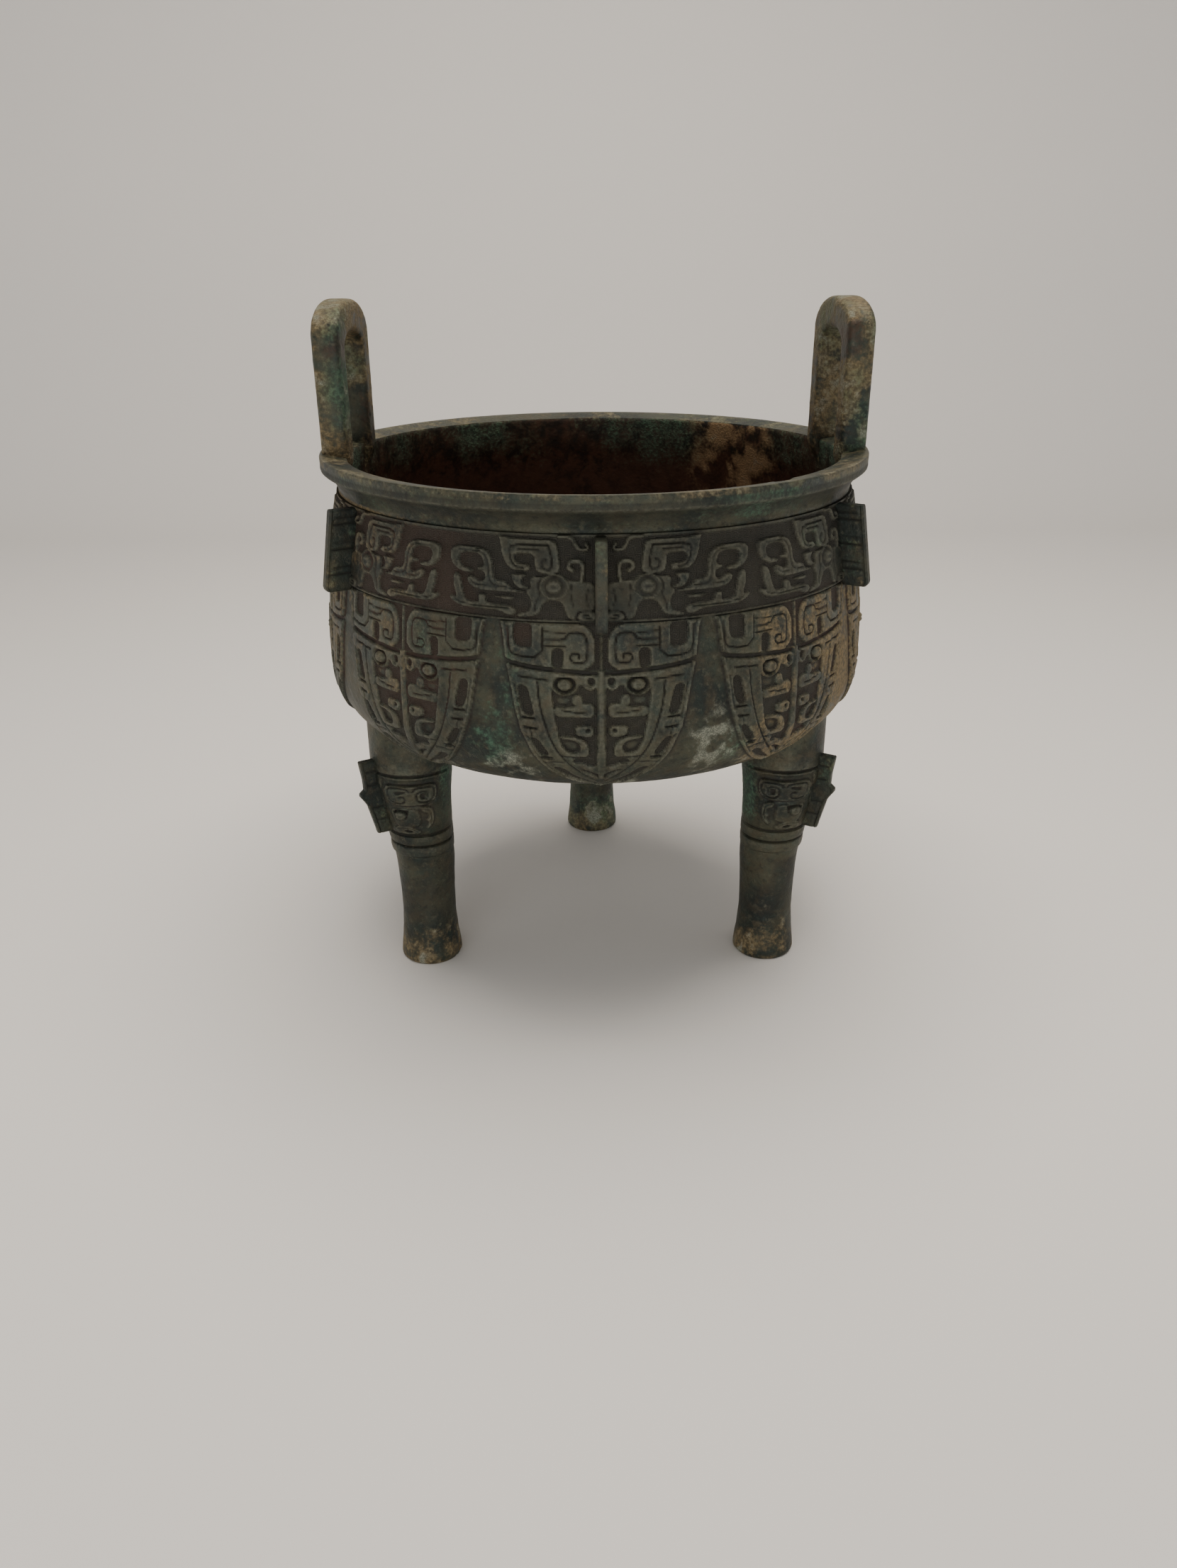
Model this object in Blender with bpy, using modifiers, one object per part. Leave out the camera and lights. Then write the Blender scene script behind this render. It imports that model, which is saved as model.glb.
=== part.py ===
"""A round bronze ding: a tripod food vessel of the Chinese Bronze Age, cast in one piece.

Units are metres and +Z is up. The origin is on the ground under the vessel's axis.
The front is -Y: a flange of the upper band faces it, two legs stand left and right of it,
the third leg stands behind, and the two upright ears are at the sides.
Azimuths are in degrees from the front, positive towards +X.
"""
import math

import bmesh
import bpy
import numpy as np
from mathutils import Matrix, Vector

# Driving sizes of the bowl
RIM_DIAMETER = 0.300
RIM_HEIGHT = 0.2905
RIM_DISH = 0.0023
LIP_HEIGHT = 0.0075
LIP_EDGE = 0.0006
LIP_COVE_OUT = 0.0037
LIP_COVE_DROP = 0.0108
NECK_INSET = 0.0088
NECK_DROP = 0.018
MOUTH_LEDGE = 0.0012
BELLY_SWELL = 0.0018
BELLY_HEIGHT = 0.181
BOTTOM_HEIGHT = 0.1238
UPPER_BULGE = 1.71
LOWER_FULLNESS_R = 2.608
LOWER_FULLNESS_Z = 2.865
WALL = 0.0045
BOWL_STEPS = 32
UPPER_STEPS = 2
OUTER_ANGLES = (0, 11, 22, 40, 56, 73, 90)
INNER_ANGLES = (0, 12, 24, 44, 60, 76)

# Legs, solid columns that swell outwards under the belly
LEG_AZIMUTHS = (60.0, 180.0, 300.0)
LEG_INSET = 0.0352
LEG_TOP_DROP = 0.009
FOOT_RADIUS = 0.0180
SHAFT_RADIUS = 0.0156
KNEE_RADIUS = 0.0178
THIGH_RADIUS = 0.0225
THIGH_SWELL = 0.0045
THIGH_RISE = 0.0360
FOOT_EDGE = 0.0016
FOOT_HEIGHT = 0.0040
KNEE_HEIGHT = 0.0722
RING_HEIGHT = 0.0073
RING_EDGE = 0.0016
RING_RISE = 0.0010
RING_COUNT = 2
LEG_STEPS = 13

# Ears, upright loops that stand on the rim
EAR_AZIMUTHS = (94.0, 266.0)
EAR_HEIGHT = 0.0765
EAR_WIDTH = 0.072
EAR_THICKNESS = 0.0158
EAR_ARM = 0.016
EAR_CROWN = 0.017
EAR_ARCH_RISE = 0.017
EAR_LOOP_RISE = 0.0094
EAR_EDGE = 0.0028
EAR_ROOT = 0.016
EAR_ROOT_THICKNESS = 0.0016
EAR_SETBACK = 0.0047
EAR_ARCH_STEPS = 6

# Flanges of the upper band: heights below the neck, reaches beyond the rim
FLANGE_COUNT = 6
FLANGE_THICKNESS = 0.0057
FLANGE_DROP = 0.0013
FLANGE_HEIGHT = 0.0412
FLANGE_REACH_TOP = 0.0060
FLANGE_REACH_BOTTOM = 0.0123
FLANGE_EDGE = 0.0012
FLANGE_TOE = 0.0030

# Crests of the legs: reaches from the leg's own axis, heights as shares of the crest
CREST_THICKNESS = 0.0052
CREST_ABOVE_BOTTOM = 0.0087
CREST_REACH = 0.0352
CREST_FOOT = 0.0287
CREST_FOOT_ROOT = 0.0190
CREST_SPIKE = 0.0369
CREST_WAIST = 0.0322
CREST_WAIST_SHARE = 0.40
CREST_SPIKE_SHARES = (0.53, 0.60)
CREST_NECK_SHARE = 0.72
CREST_SLOPE = 0.001
CREST_ROOT_SHARE = 0.30

# Relief: heights above the wall, and where its two zones lie below the neck
RELIEF_HEIGHT = 0.0022
RELIEF_DRAFT = 0.0004
RELIEF_SINK = 0.0034
BAND_START = 0.0025
BAND_LENGTH = 0.0385
BLADE_GAP = 0.0015
BLADE_LENGTH = 0.0920
BLADE_COUNT = 9
EYE_RADIUS = 0.0034
EYE_RISE = 0.0034
EYE_TAPER = 0.55
EYE_SIDES = 5
LEG_EYE_RADIUS = 0.0030
LEG_EYE_RISE = 0.0027
LEG_RELIEF = 0.0018
LEG_STROKE = 0.0038
MITRE_LIMIT = 0.45
BROAD_STROKE = 0.0040
MIDDLE_STROKE = 0.0035
FINE_STROKE = 0.0028

# Half a mask of the band. Strokes are points (across, along) as shares of half the mask's
# width and of its length, then the stroke's width, then whether it is flat on top.
MASK_EYE = (0.29, 0.60)
MASK_STROKES = {
    "horn": (((0.31, 0.42), (0.315, 0.13), (0.60, 0.11), (0.60, 0.33), (0.49, 0.42)), BROAD_STROKE, True),
    "jaw": (((0.17, 0.95), (0.22, 0.77), (0.355, 0.77), (0.42, 0.95)), FINE_STROKE, False),
    "body": (((0.40, 0.61), (0.68, 0.61), (0.71, 0.24), (0.90, 0.33)), BROAD_STROKE, False),
    "foot": (((0.57, 0.88), (0.93, 0.86)), MIDDLE_STROKE, False),
    "curl": (((0.14, 0.06), (0.10, 0.20)), FINE_STROKE, False),
}

# Half a hanging blade, in the same way; its border follows the blade's edge
BLADE_EYE = (0.325, 0.335)
BLADE_STROKES = {
    "horn": (((0.40, 0.05), (0.115, 0.05), (0.115, 0.19), (0.33, 0.19)), MIDDLE_STROKE, True),
    "hook": (((0.59, 0.02), (0.59, 0.175), (0.82, 0.175)), MIDDLE_STROKE, False),
    "brow": (((0.11, 0.268), (0.80, 0.268)), FINE_STROKE, True),
    "side": (((0.58, 0.31), (0.49, 0.60), (0.09, 0.93)), MIDDLE_STROKE, True),
    "scroll": (((0.12, 0.70), (0.30, 0.68), (0.27, 0.57)), FINE_STROKE, False),
}
BORDER_STATIONS = (0.01, 0.45, 0.80)
BORDER_TIP = (0.07, 0.985)
BORDER_INSET = 0.93
BLADE_SHOULDER = 0.55
BLADE_TAPER = 0.26
BLADE_TAPER_POWER = 1.4
BLADE_TIP_WIDTH = 0.03
BLADE_TIP_POWER = 1.75
NOSE_STATIONS = (0.26, 0.62, 0.93)

# Half a mask of a leg: places as shares of the arm (across) and of the crest's height
LEG_MASK_ARM = 58.0
LEG_HORN_CENTRE = 0.66
LEG_HORN_WIDTH = 0.36
LEG_HORN_HEIGHT = 0.15
LEG_HORN_TURN = (250, -20)
LEG_HORN_STEPS = 4
LEG_EYE = (0.80, 0.31)
LEG_BROW = ((0.34, 0.84), (0.34, 0.38))
LEG_JAW = ((0.42, 0.10), (1.25, 0.10))

# A small chip in the inner edge of the rim
CHIP_AZIMUTH = 40.0
CHIP_LENGTH = 0.0115
CHIP_BREADTH = 0.0070
CHIP_DEPTH = 0.0022

# Small distances that only keep cuts and joints clean
OVERSHOOT = 0.010
WELD = 0.00002
MERGE = 0.0001
TINY = 0.0005
SLOPE_STEP = 0.002
SHARP_ANGLE = 1.2

# Sizes worked out from the ones above
RIM_RADIUS = RIM_DIAMETER / 2
NECK_RADIUS = RIM_RADIUS - NECK_INSET
NECK_HEIGHT = RIM_HEIGHT - NECK_DROP
BELLY_RADIUS = RIM_RADIUS + BELLY_SWELL
MOUTH_RADIUS = NECK_RADIUS - WALL - MOUTH_LEDGE
MOUTH_HEIGHT = RIM_HEIGHT - RIM_DISH
LEG_CIRCLE = BELLY_RADIUS - LEG_INSET
LEG_TOP = BELLY_HEIGHT - LEG_TOP_DROP
RINGS_TOP = KNEE_HEIGHT + RING_COUNT * RING_HEIGHT
THIGH_HEIGHT = RINGS_TOP + THIGH_RISE
CREST_TOP = BOTTOM_HEIGHT + CREST_ABOVE_BOTTOM
CREST_HEIGHT = CREST_TOP - RINGS_TOP
PATINA = (0.050, 0.058, 0.046, 1.0)
PATINA_METALLIC = 0.45
PATINA_ROUGHNESS = 0.55


def radial(azimuth):
    """Unit vector from the axis towards an azimuth."""
    angle = math.radians(azimuth)
    return Vector((math.sin(angle), -math.cos(angle), 0.0))


def upper_radius(z):
    """Outer radius of the wall between its widest place and the neck."""
    share = abs(z - BELLY_HEIGHT) / (NECK_HEIGHT - BELLY_HEIGHT)
    return BELLY_RADIUS - (BELLY_RADIUS - NECK_RADIUS) * share ** UPPER_BULGE


def lower_point(angle):
    """Outer point of the rounded bottom, from 0 at the widest place to 90 degrees on the axis."""
    c = max(math.cos(math.radians(angle)), 0.0)
    s = math.sin(math.radians(angle))
    r = BELLY_RADIUS * c ** (2 / LOWER_FULLNESS_R)
    return (r, BELLY_HEIGHT - (BELLY_HEIGHT - BOTTOM_HEIGHT) * s ** (2 / LOWER_FULLNESS_Z))


def wall_outline(upper_steps, angles):
    """The wall's outer outline from the neck to the bottom's centre."""
    points = []
    for i in range(upper_steps):
        z = NECK_HEIGHT + (BELLY_HEIGHT - NECK_HEIGHT) * i / upper_steps
        points.append((upper_radius(z), z))
    points += [lower_point(a) for a in angles]
    return points


FINE = np.array(wall_outline(60, np.linspace(0, 90, 400)))
FINE_LENGTH = np.concatenate([[0.0], np.cumsum(np.hypot(*np.diff(FINE, axis=0).T))])


def wall_point(length):
    """(radius, height) of the outer wall at a length down from the neck."""
    r = float(np.interp(length, FINE_LENGTH, FINE[:, 0]))
    return r, float(np.interp(length, FINE_LENGTH, FINE[:, 1]))


def on_wall(length, azimuth, lift):
    """A point at a length down the wall from the neck, lifted off it along its normal."""
    r, z = wall_point(length)
    r_below, z_below = wall_point(length + SLOPE_STEP)
    r_above, z_above = wall_point(length - SLOPE_STEP)
    size = math.hypot(r_below - r_above, z_below - z_above)
    outwards = (z_above - z_below) / size
    upwards = (r_below - r_above) / size
    return radial(azimuth) * (r + outwards * lift) + Vector((0, 0, z + upwards * lift))


def new_object(name, mesh, collection):
    obj = bpy.data.objects.new(name, mesh)
    collection.objects.link(obj)
    return obj


def hide_cutter(obj):
    """Cutters and other helpers are shown as wire and left out of renders."""
    obj.hide_render = True
    obj.display_type = "WIRE"
    return obj


def turned(name, outline, steps, collection):
    """A turned solid: an outline of (radius, height) points and a Screw modifier."""
    bm = bmesh.new()
    verts = [bm.verts.new((r, 0.0, z)) for r, z in outline]
    for a, b in zip(verts, verts[1:]):
        bm.edges.new((a, b))
    mesh = bpy.data.meshes.new(name)
    bm.to_mesh(mesh)
    bm.free()
    obj = new_object(name, mesh, collection)
    screw = obj.modifiers.new("Turn", "SCREW")
    screw.steps = steps
    screw.render_steps = steps
    screw.use_merge_vertices = True
    screw.merge_threshold = MERGE
    screw.use_normal_calculate = True
    return obj


def applied(obj, collection):
    """The evaluated mesh of an object as an object of its own; the first one is removed."""
    graph = bpy.context.evaluated_depsgraph_get()
    mesh = bpy.data.meshes.new_from_object(obj.evaluated_get(graph))
    bm = bmesh.new()
    bm.from_mesh(mesh)
    bmesh.ops.remove_doubles(bm, verts=bm.verts, dist=WELD)
    bmesh.ops.recalc_face_normals(bm, faces=bm.faces)
    bm.to_mesh(mesh)
    bm.free()
    name = obj.name
    matrix = obj.matrix_world.copy()
    bpy.data.objects.remove(obj)
    made = new_object(name, mesh, collection)
    made.matrix_world = matrix
    return made


def boolean(target, tool, operation):
    cut = target.modifiers.new(tool.name, "BOOLEAN")
    cut.operation = operation
    cut.solver = "EXACT"
    cut.object = tool


def bowl_outline():
    """Solid outer form: rim top, lip, neck, wall and bottom, ending on the axis."""
    lip = [(0.0, MOUTH_HEIGHT), (MOUTH_RADIUS, MOUTH_HEIGHT), (RIM_RADIUS - LIP_EDGE, RIM_HEIGHT)]
    lip += [(RIM_RADIUS, RIM_HEIGHT - LIP_EDGE), (RIM_RADIUS, RIM_HEIGHT - LIP_HEIGHT)]
    lip.append((NECK_RADIUS + LIP_COVE_OUT, RIM_HEIGHT - LIP_COVE_DROP))
    return lip + wall_outline(UPPER_STEPS, OUTER_ANGLES)


def cavity_outline():
    """The hollow, a wall's thickness inside the outer form, open upwards past the ears' feet."""
    above = RIM_HEIGHT + OVERSHOOT
    points = [(0.0, above), (MOUTH_RADIUS, above), (MOUTH_RADIUS, MOUTH_HEIGHT - LIP_EDGE)]
    points.append((MOUTH_RADIUS + TINY, NECK_HEIGHT))
    outer = wall_outline(UPPER_STEPS, INNER_ANGLES)
    for (r0, z0), (r1, z1), (r2, z2) in zip(outer, outer[1:], outer[2:]):
        size = math.hypot(r2 - r0, z2 - z0)
        points.append((r1 + (z2 - z0) / size * WALL, z1 - (r2 - r0) / size * WALL))
    points.append((0.0, BOTTOM_HEIGHT + WALL))
    return points


def leg_outline():
    """A leg's radius over its height, top to bottom, with raised bands at the knee."""
    points = [(0.0, LEG_TOP), (THIGH_RADIUS, LEG_TOP), (THIGH_RADIUS, THIGH_HEIGHT)]
    points.append((KNEE_RADIUS + RING_RISE, RINGS_TOP + RING_EDGE))
    for i in reversed(range(RING_COUNT)):
        base = KNEE_HEIGHT + i * RING_HEIGHT
        points.append((KNEE_RADIUS - RING_RISE, base + RING_HEIGHT))
        points.append((KNEE_RADIUS + RING_RISE, base + RING_HEIGHT - RING_EDGE))
        points.append((KNEE_RADIUS + RING_RISE, base + RING_EDGE))
    points.append((KNEE_RADIUS - RING_RISE, KNEE_HEIGHT))
    flare = (SHAFT_RADIUS + FOOT_RADIUS) / 2
    points += [(SHAFT_RADIUS, KNEE_HEIGHT / 2), (flare, KNEE_HEIGHT / 5), (FOOT_RADIUS, FOOT_HEIGHT)]
    points += [(FOOT_RADIUS - FOOT_EDGE, 0.0), (0.0, 0.0)]
    return points


def leg_swell(z):
    """How far the leg's section has moved outwards at a height."""
    start = KNEE_HEIGHT - RING_HEIGHT * 2
    share = min(max((z - start) / (THIGH_HEIGHT - start), 0.0), 1.0)
    return THIGH_SWELL * share * share * (3 - 2 * share)


def leg(azimuth, collection):
    obj = applied(turned(f"leg_{azimuth:.0f}", leg_outline(), LEG_STEPS, collection), collection)
    out = radial(azimuth)
    for vertex in obj.data.vertices:
        vertex.co += out * (LEG_CIRCLE + leg_swell(vertex.co.z))
    return hide_cutter(obj)


def plate(name, outline, thickness, matrix, collection, edge=0.0):
    """A flat outline with a thickness: a filled 2D curve, made a closed mesh and placed."""
    curve = bpy.data.curves.new(name, "CURVE")
    curve.dimensions = "2D"
    curve.fill_mode = "BOTH"
    curve.extrude = thickness / 2
    spline = curve.splines.new("POLY")
    spline.points.add(len(outline) - 1)
    for point, (x, y) in zip(spline.points, outline):
        point.co = (x, y, 0.0, 1.0)
    spline.use_cyclic_u = True
    obj = new_object(name, curve, collection)
    bpy.context.view_layer.update()
    obj = applied(obj, collection)
    bm = bmesh.new()
    bm.from_mesh(obj.data)
    bmesh.ops.dissolve_limit(bm, angle_limit=math.radians(0.05), verts=bm.verts, edges=bm.edges)
    if edge:
        sharp = [e for e in bm.edges if e.calc_face_angle(0.0) > SHARP_ANGLE]
        bmesh.ops.bevel(bm, geom=sharp, offset=edge, segments=1, affect="EDGES")
    bmesh.ops.transform(bm, matrix=matrix, verts=bm.verts)
    bmesh.ops.recalc_face_normals(bm, faces=bm.faces)
    bm.to_mesh(obj.data)
    bm.free()
    return hide_cutter(obj)


def upright_frame(azimuth, distance):
    """Plate coordinates (along the plate, up, through it) for a plate that faces an azimuth."""
    out = radial(azimuth)
    along = Vector((0, 0, 1)).cross(out)
    centre = out * distance
    return Matrix(((along.x, 0, out.x, centre.x), (along.y, 0, out.y, centre.y),
                   (0, 1, 0, 0), (0, 0, 0, 1)))


def fin_frame(azimuth):
    """Plate coordinates (outwards, up, across) for a fin that lies in a plane through the axis."""
    out = radial(azimuth)
    across = out.cross(Vector((0, 0, 1)))
    return Matrix(((out.x, 0, across.x, 0), (out.y, 0, across.y, 0), (0, 1, 0, 0), (0, 0, 0, 1)))


def ear(azimuth, collection):
    """An upright loop with an arched top; its feet run down into the lip and taper off there."""
    half = EAR_WIDTH / 2
    gap = half - EAR_ARM
    foot = MOUTH_HEIGHT - EAR_ROOT
    crown = RIM_HEIGHT + EAR_HEIGHT
    spring = crown - EAR_ARCH_RISE
    loop_spring = crown - EAR_CROWN - EAR_LOOP_RISE
    angles = [math.pi * i / EAR_ARCH_STEPS for i in range(EAR_ARCH_STEPS + 1)]
    outline = [(half, foot)]
    outline += [(half * math.cos(a), spring + EAR_ARCH_RISE * math.sin(a)) for a in angles]
    outline += [(-half, foot), (-gap, foot)]
    outline += [(gap * math.cos(a), loop_spring + EAR_LOOP_RISE * math.sin(a)) for a in reversed(angles[::2])]
    outline.append((gap, foot))
    distance = RIM_RADIUS - EAR_SETBACK - EAR_THICKNESS / 2
    matrix = upright_frame(azimuth, distance)
    obj = plate(f"ear_{azimuth:.0f}", outline, EAR_THICKNESS, matrix, collection, EAR_EDGE)
    taper_ear_feet(obj, radial(azimuth), distance)
    return obj


def taper_ear_feet(obj, out, distance):
    """Below the rim the feet run inwards to the wall and thin out."""
    bm = bmesh.new()
    bm.from_mesh(obj.data)
    whole = bm.verts[:] + bm.edges[:] + bm.faces[:]
    bmesh.ops.bisect_plane(bm, geom=whole, dist=WELD, plane_co=(0, 0, MOUTH_HEIGHT), plane_no=(0, 0, 1))
    thinned = 1 - EAR_ROOT_THICKNESS / EAR_THICKNESS
    for vertex in bm.verts:
        if vertex.co.z < MOUTH_HEIGHT - EAR_ROOT / 2:
            depth = vertex.co.dot(out) - distance
            vertex.co += out * (MOUTH_RADIUS - TINY - distance - depth * thinned)
    bm.to_mesh(obj.data)
    bm.free()


def belly_flange(azimuth, collection):
    """A flat hooked ridge on the upper band, deeper at its lower end."""
    top = NECK_HEIGHT - FLANGE_DROP
    low = top - FLANGE_HEIGHT
    top_in = upper_radius(top) - RELIEF_SINK
    low_in = upper_radius(low) - RELIEF_SINK
    top_out = RIM_RADIUS + FLANGE_REACH_TOP
    low_out = RIM_RADIUS + FLANGE_REACH_BOTTOM
    outline = [(low_in, low - FLANGE_EDGE), (low_out - FLANGE_EDGE, low + FLANGE_EDGE)]
    outline += [(low_out, low + FLANGE_TOE), (top_out, top), (top_in, top - FLANGE_EDGE)]
    name = f"flange_{azimuth:.0f}"
    return plate(name, outline, FLANGE_THICKNESS, fin_frame(azimuth), collection)


def crest_height(share):
    return RINGS_TOP + CREST_HEIGHT * share


def leg_crest(azimuth, collection):
    """The crest of a leg's mask, with a beak at its middle."""
    inner = LEG_CIRCLE + THIGH_RADIUS * CREST_ROOT_SHARE
    low = RINGS_TOP + TINY
    outline = [(inner, low), (LEG_CIRCLE + CREST_FOOT_ROOT, low), (LEG_CIRCLE + CREST_FOOT, RINGS_TOP)]
    outline.append((LEG_CIRCLE + CREST_WAIST, crest_height(CREST_WAIST_SHARE)))
    outline += [(LEG_CIRCLE + CREST_SPIKE, crest_height(share)) for share in CREST_SPIKE_SHARES]
    outline.append((LEG_CIRCLE + CREST_REACH - CREST_SLOPE, crest_height(CREST_NECK_SHARE)))
    outline.append((LEG_CIRCLE + CREST_REACH + CREST_SLOPE, CREST_TOP))
    outline += [(LEG_CIRCLE + THIGH_RADIUS, CREST_TOP + CREST_SLOPE), (inner, CREST_TOP + CREST_SLOPE)]
    return plate(f"leg_crest_{azimuth:.0f}", outline, CREST_THICKNESS, fin_frame(azimuth), collection)


def ribbon(bm, points, width, place, height, flat=True):
    """A raised strip along a line, closed and rooted in the wall: flat on top, or a sharp ridge.

    Points are (across, along) in metres in the panel; place(across, along, lift) puts them on the form.
    """
    line = [Vector(point) for point in points]
    rings = []
    for i, point in enumerate(line):
        before = (point - line[i - 1]).normalized() if i else None
        after = (line[i + 1] - point).normalized() if i + 1 < len(line) else None
        if before is None:
            before = after
        if after is None:
            after = before
        mean = (before + after).normalized()
        side = Vector((-mean.y, mean.x)) / max(mean.dot(after), MITRE_LIMIT)
        wide = side * (width / 2)
        narrow = side * (width / 2 - RELIEF_DRAFT)
        section = [(wide, -RELIEF_SINK), (-wide, -RELIEF_SINK)]
        section += [(-narrow, height), (narrow, height)] if flat else [(Vector((0, 0)), height)]
        rings.append([bm.verts.new(place(*(point + offset), lift)) for offset, lift in section])
    for a, b in zip(rings, rings[1:]):
        for k in range(len(a)):
            n = (k + 1) % len(a)
            bm.faces.new((a[k], a[n], b[n], b[k]))
    bm.faces.new(rings[0])
    bm.faces.new(rings[-1][::-1])


def boss(bm, across, along, radius, place, rise):
    """A low round eye, broader at its root."""
    base = place(across, along, -RELIEF_SINK)
    normal = (place(across, along, rise) - base).normalized()
    depth = rise + RELIEF_SINK
    matrix = Matrix.Translation(base + normal * (depth / 2))
    matrix = matrix @ normal.to_track_quat("Z", "Y").to_matrix().to_4x4()
    bmesh.ops.create_cone(bm, cap_ends=True, segments=EYE_SIDES, radius1=radius,
                          radius2=radius * EYE_TAPER, depth=depth, matrix=matrix)


def half_motif(bm, place, half, length, strokes, eye):
    """The strokes and the eye of half a mask or half a blade."""
    for points, width, flat in strokes.values():
        line = [(across * half, along * length) for across, along in points]
        ribbon(bm, line, width, place, RELIEF_HEIGHT, flat)
    boss(bm, eye[0] * half, eye[1] * length, EYE_RADIUS, place, EYE_RISE)


def blade_edge(share):
    """Half width of a blade, as a share of its greatest, at a share of its length."""
    if share < BLADE_SHOULDER:
        return 1.0 - BLADE_TAPER * share ** BLADE_TAPER_POWER
    at_shoulder = 1.0 - BLADE_TAPER * BLADE_SHOULDER ** BLADE_TAPER_POWER
    past = (share - BLADE_SHOULDER) / (1 - BLADE_SHOULDER)
    rounding = math.sqrt(max(1 - past ** BLADE_TIP_POWER, 0.0))
    return (at_shoulder - BLADE_TIP_WIDTH) * rounding + BLADE_TIP_WIDTH


def blade_border(bm, place, half, length):
    line = [(blade_edge(share) * half * BORDER_INSET, share * length) for share in BORDER_STATIONS]
    line.append((BORDER_TIP[0] * half, BORDER_TIP[1] * length))
    ribbon(bm, line, FINE_STROKE, place, RELIEF_HEIGHT, False)


def wall_panel(azimuth, side, start):
    """Places a panel's points on the wall; side mirrors the panel about its azimuth."""
    def place(across, along, lift):
        turn = math.degrees(across / RIM_RADIUS) * side
        return on_wall(start + along, azimuth + turn, lift)
    return place


def relief_object(name, bm, collection):
    bmesh.ops.recalc_face_normals(bm, faces=bm.faces)
    mesh = bpy.data.meshes.new(name)
    bm.to_mesh(mesh)
    bm.free()
    return hide_cutter(new_object(name, mesh, collection))


def wall_relief(collection):
    """All the masks and blades around the bowl, as one helper object of separate closed strips."""
    bm = bmesh.new()
    mask_half = math.pi / FLANGE_COUNT * RIM_RADIUS
    blade_half = math.pi / BLADE_COUNT * RIM_RADIUS
    blade_start = BAND_START + BAND_LENGTH + BLADE_GAP
    for i in range(FLANGE_COUNT):
        for side in (-1, 1):
            place = wall_panel(360 * i / FLANGE_COUNT, side, BAND_START)
            half_motif(bm, place, mask_half, BAND_LENGTH, MASK_STROKES, MASK_EYE)
    for i in range(BLADE_COUNT):
        azimuth = 360 * i / BLADE_COUNT
        for side in (-1, 1):
            place = wall_panel(azimuth, side, blade_start)
            half_motif(bm, place, blade_half, BLADE_LENGTH, BLADE_STROKES, BLADE_EYE)
            blade_border(bm, place, blade_half, BLADE_LENGTH)
        nose = [(0.0, BLADE_LENGTH * share) for share in NOSE_STATIONS]
        ribbon(bm, nose, FINE_STROKE, wall_panel(azimuth, 1, blade_start), RELIEF_HEIGHT, False)
    return relief_object("wall_relief", bm, collection)


def leg_radius(z):
    """Radius of the leg's section at a height, above the foot's lower edge."""
    outline = [(r, h) for r, h in leg_outline() if r > 0]
    heights = [h for _, h in reversed(outline)]
    radii = [r for r, _ in reversed(outline)]
    return float(np.interp(z, heights, radii))


def leg_panel(azimuth, side):
    """Places (across, height) points round a leg; across 0 is its outward crest."""
    out = radial(azimuth)
    sideways = Vector((0, 0, 1)).cross(out) * side

    def place(across, height, lift):
        angle = across / THIGH_RADIUS
        centre = out * (LEG_CIRCLE + leg_swell(height))
        way = out * math.cos(angle) + sideways * math.sin(angle)
        return centre + way * (leg_radius(height) + lift) + Vector((0, 0, height))
    return place


def leg_relief(collection):
    """A mask on each leg: coiled horns over an eye, a brow by the crest and a jaw line."""
    bm = bmesh.new()
    arm = THIGH_RADIUS * math.radians(LEG_MASK_ARM)
    start, end = (math.radians(turn) for turn in LEG_HORN_TURN)
    angles = [start + (end - start) * i / LEG_HORN_STEPS for i in range(LEG_HORN_STEPS + 1)]
    horn = [(arm * (1 + LEG_HORN_WIDTH * math.cos(a)),
             crest_height(LEG_HORN_CENTRE + LEG_HORN_HEIGHT * math.sin(a))) for a in angles]
    brow, jaw = ([(arm * across, crest_height(share)) for across, share in line]
                 for line in (LEG_BROW, LEG_JAW))
    for azimuth in LEG_AZIMUTHS:
        for side in (-1, 1):
            place = leg_panel(azimuth, side)
            for line in (horn, brow, jaw):
                ribbon(bm, line, LEG_STROKE, place, LEG_RELIEF, False)
            boss(bm, LEG_EYE[0] * arm, crest_height(LEG_EYE[1]), LEG_EYE_RADIUS, place, LEG_EYE_RISE)
    return relief_object("leg_relief", bm, collection)


def rim_chip(collection):
    """A shallow wedge taken out of the rim's inner edge."""
    mesh = bpy.data.meshes.new("chip")
    bm = bmesh.new()
    matrix = Matrix.Translation(radial(CHIP_AZIMUTH) * MOUTH_RADIUS + Vector((0, 0, MOUTH_HEIGHT)))
    matrix = matrix @ Matrix.Rotation(math.radians(CHIP_AZIMUTH), 4, "Z")
    matrix = matrix @ Matrix.Diagonal((CHIP_LENGTH / 2, CHIP_BREADTH / 2, CHIP_DEPTH, 1))
    bmesh.ops.create_icosphere(bm, subdivisions=1, radius=1, matrix=matrix)
    bm.to_mesh(mesh)
    bm.free()
    return hide_cutter(new_object("chip", mesh, collection))


def bronze():
    material = bpy.data.materials.new("patinated_bronze")
    material.use_nodes = True
    shader = material.node_tree.nodes["Principled BSDF"]
    shader.inputs["Base Color"].default_value = PATINA
    shader.inputs["Metallic"].default_value = PATINA_METALLIC
    shader.inputs["Roughness"].default_value = PATINA_ROUGHNESS
    return material


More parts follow.
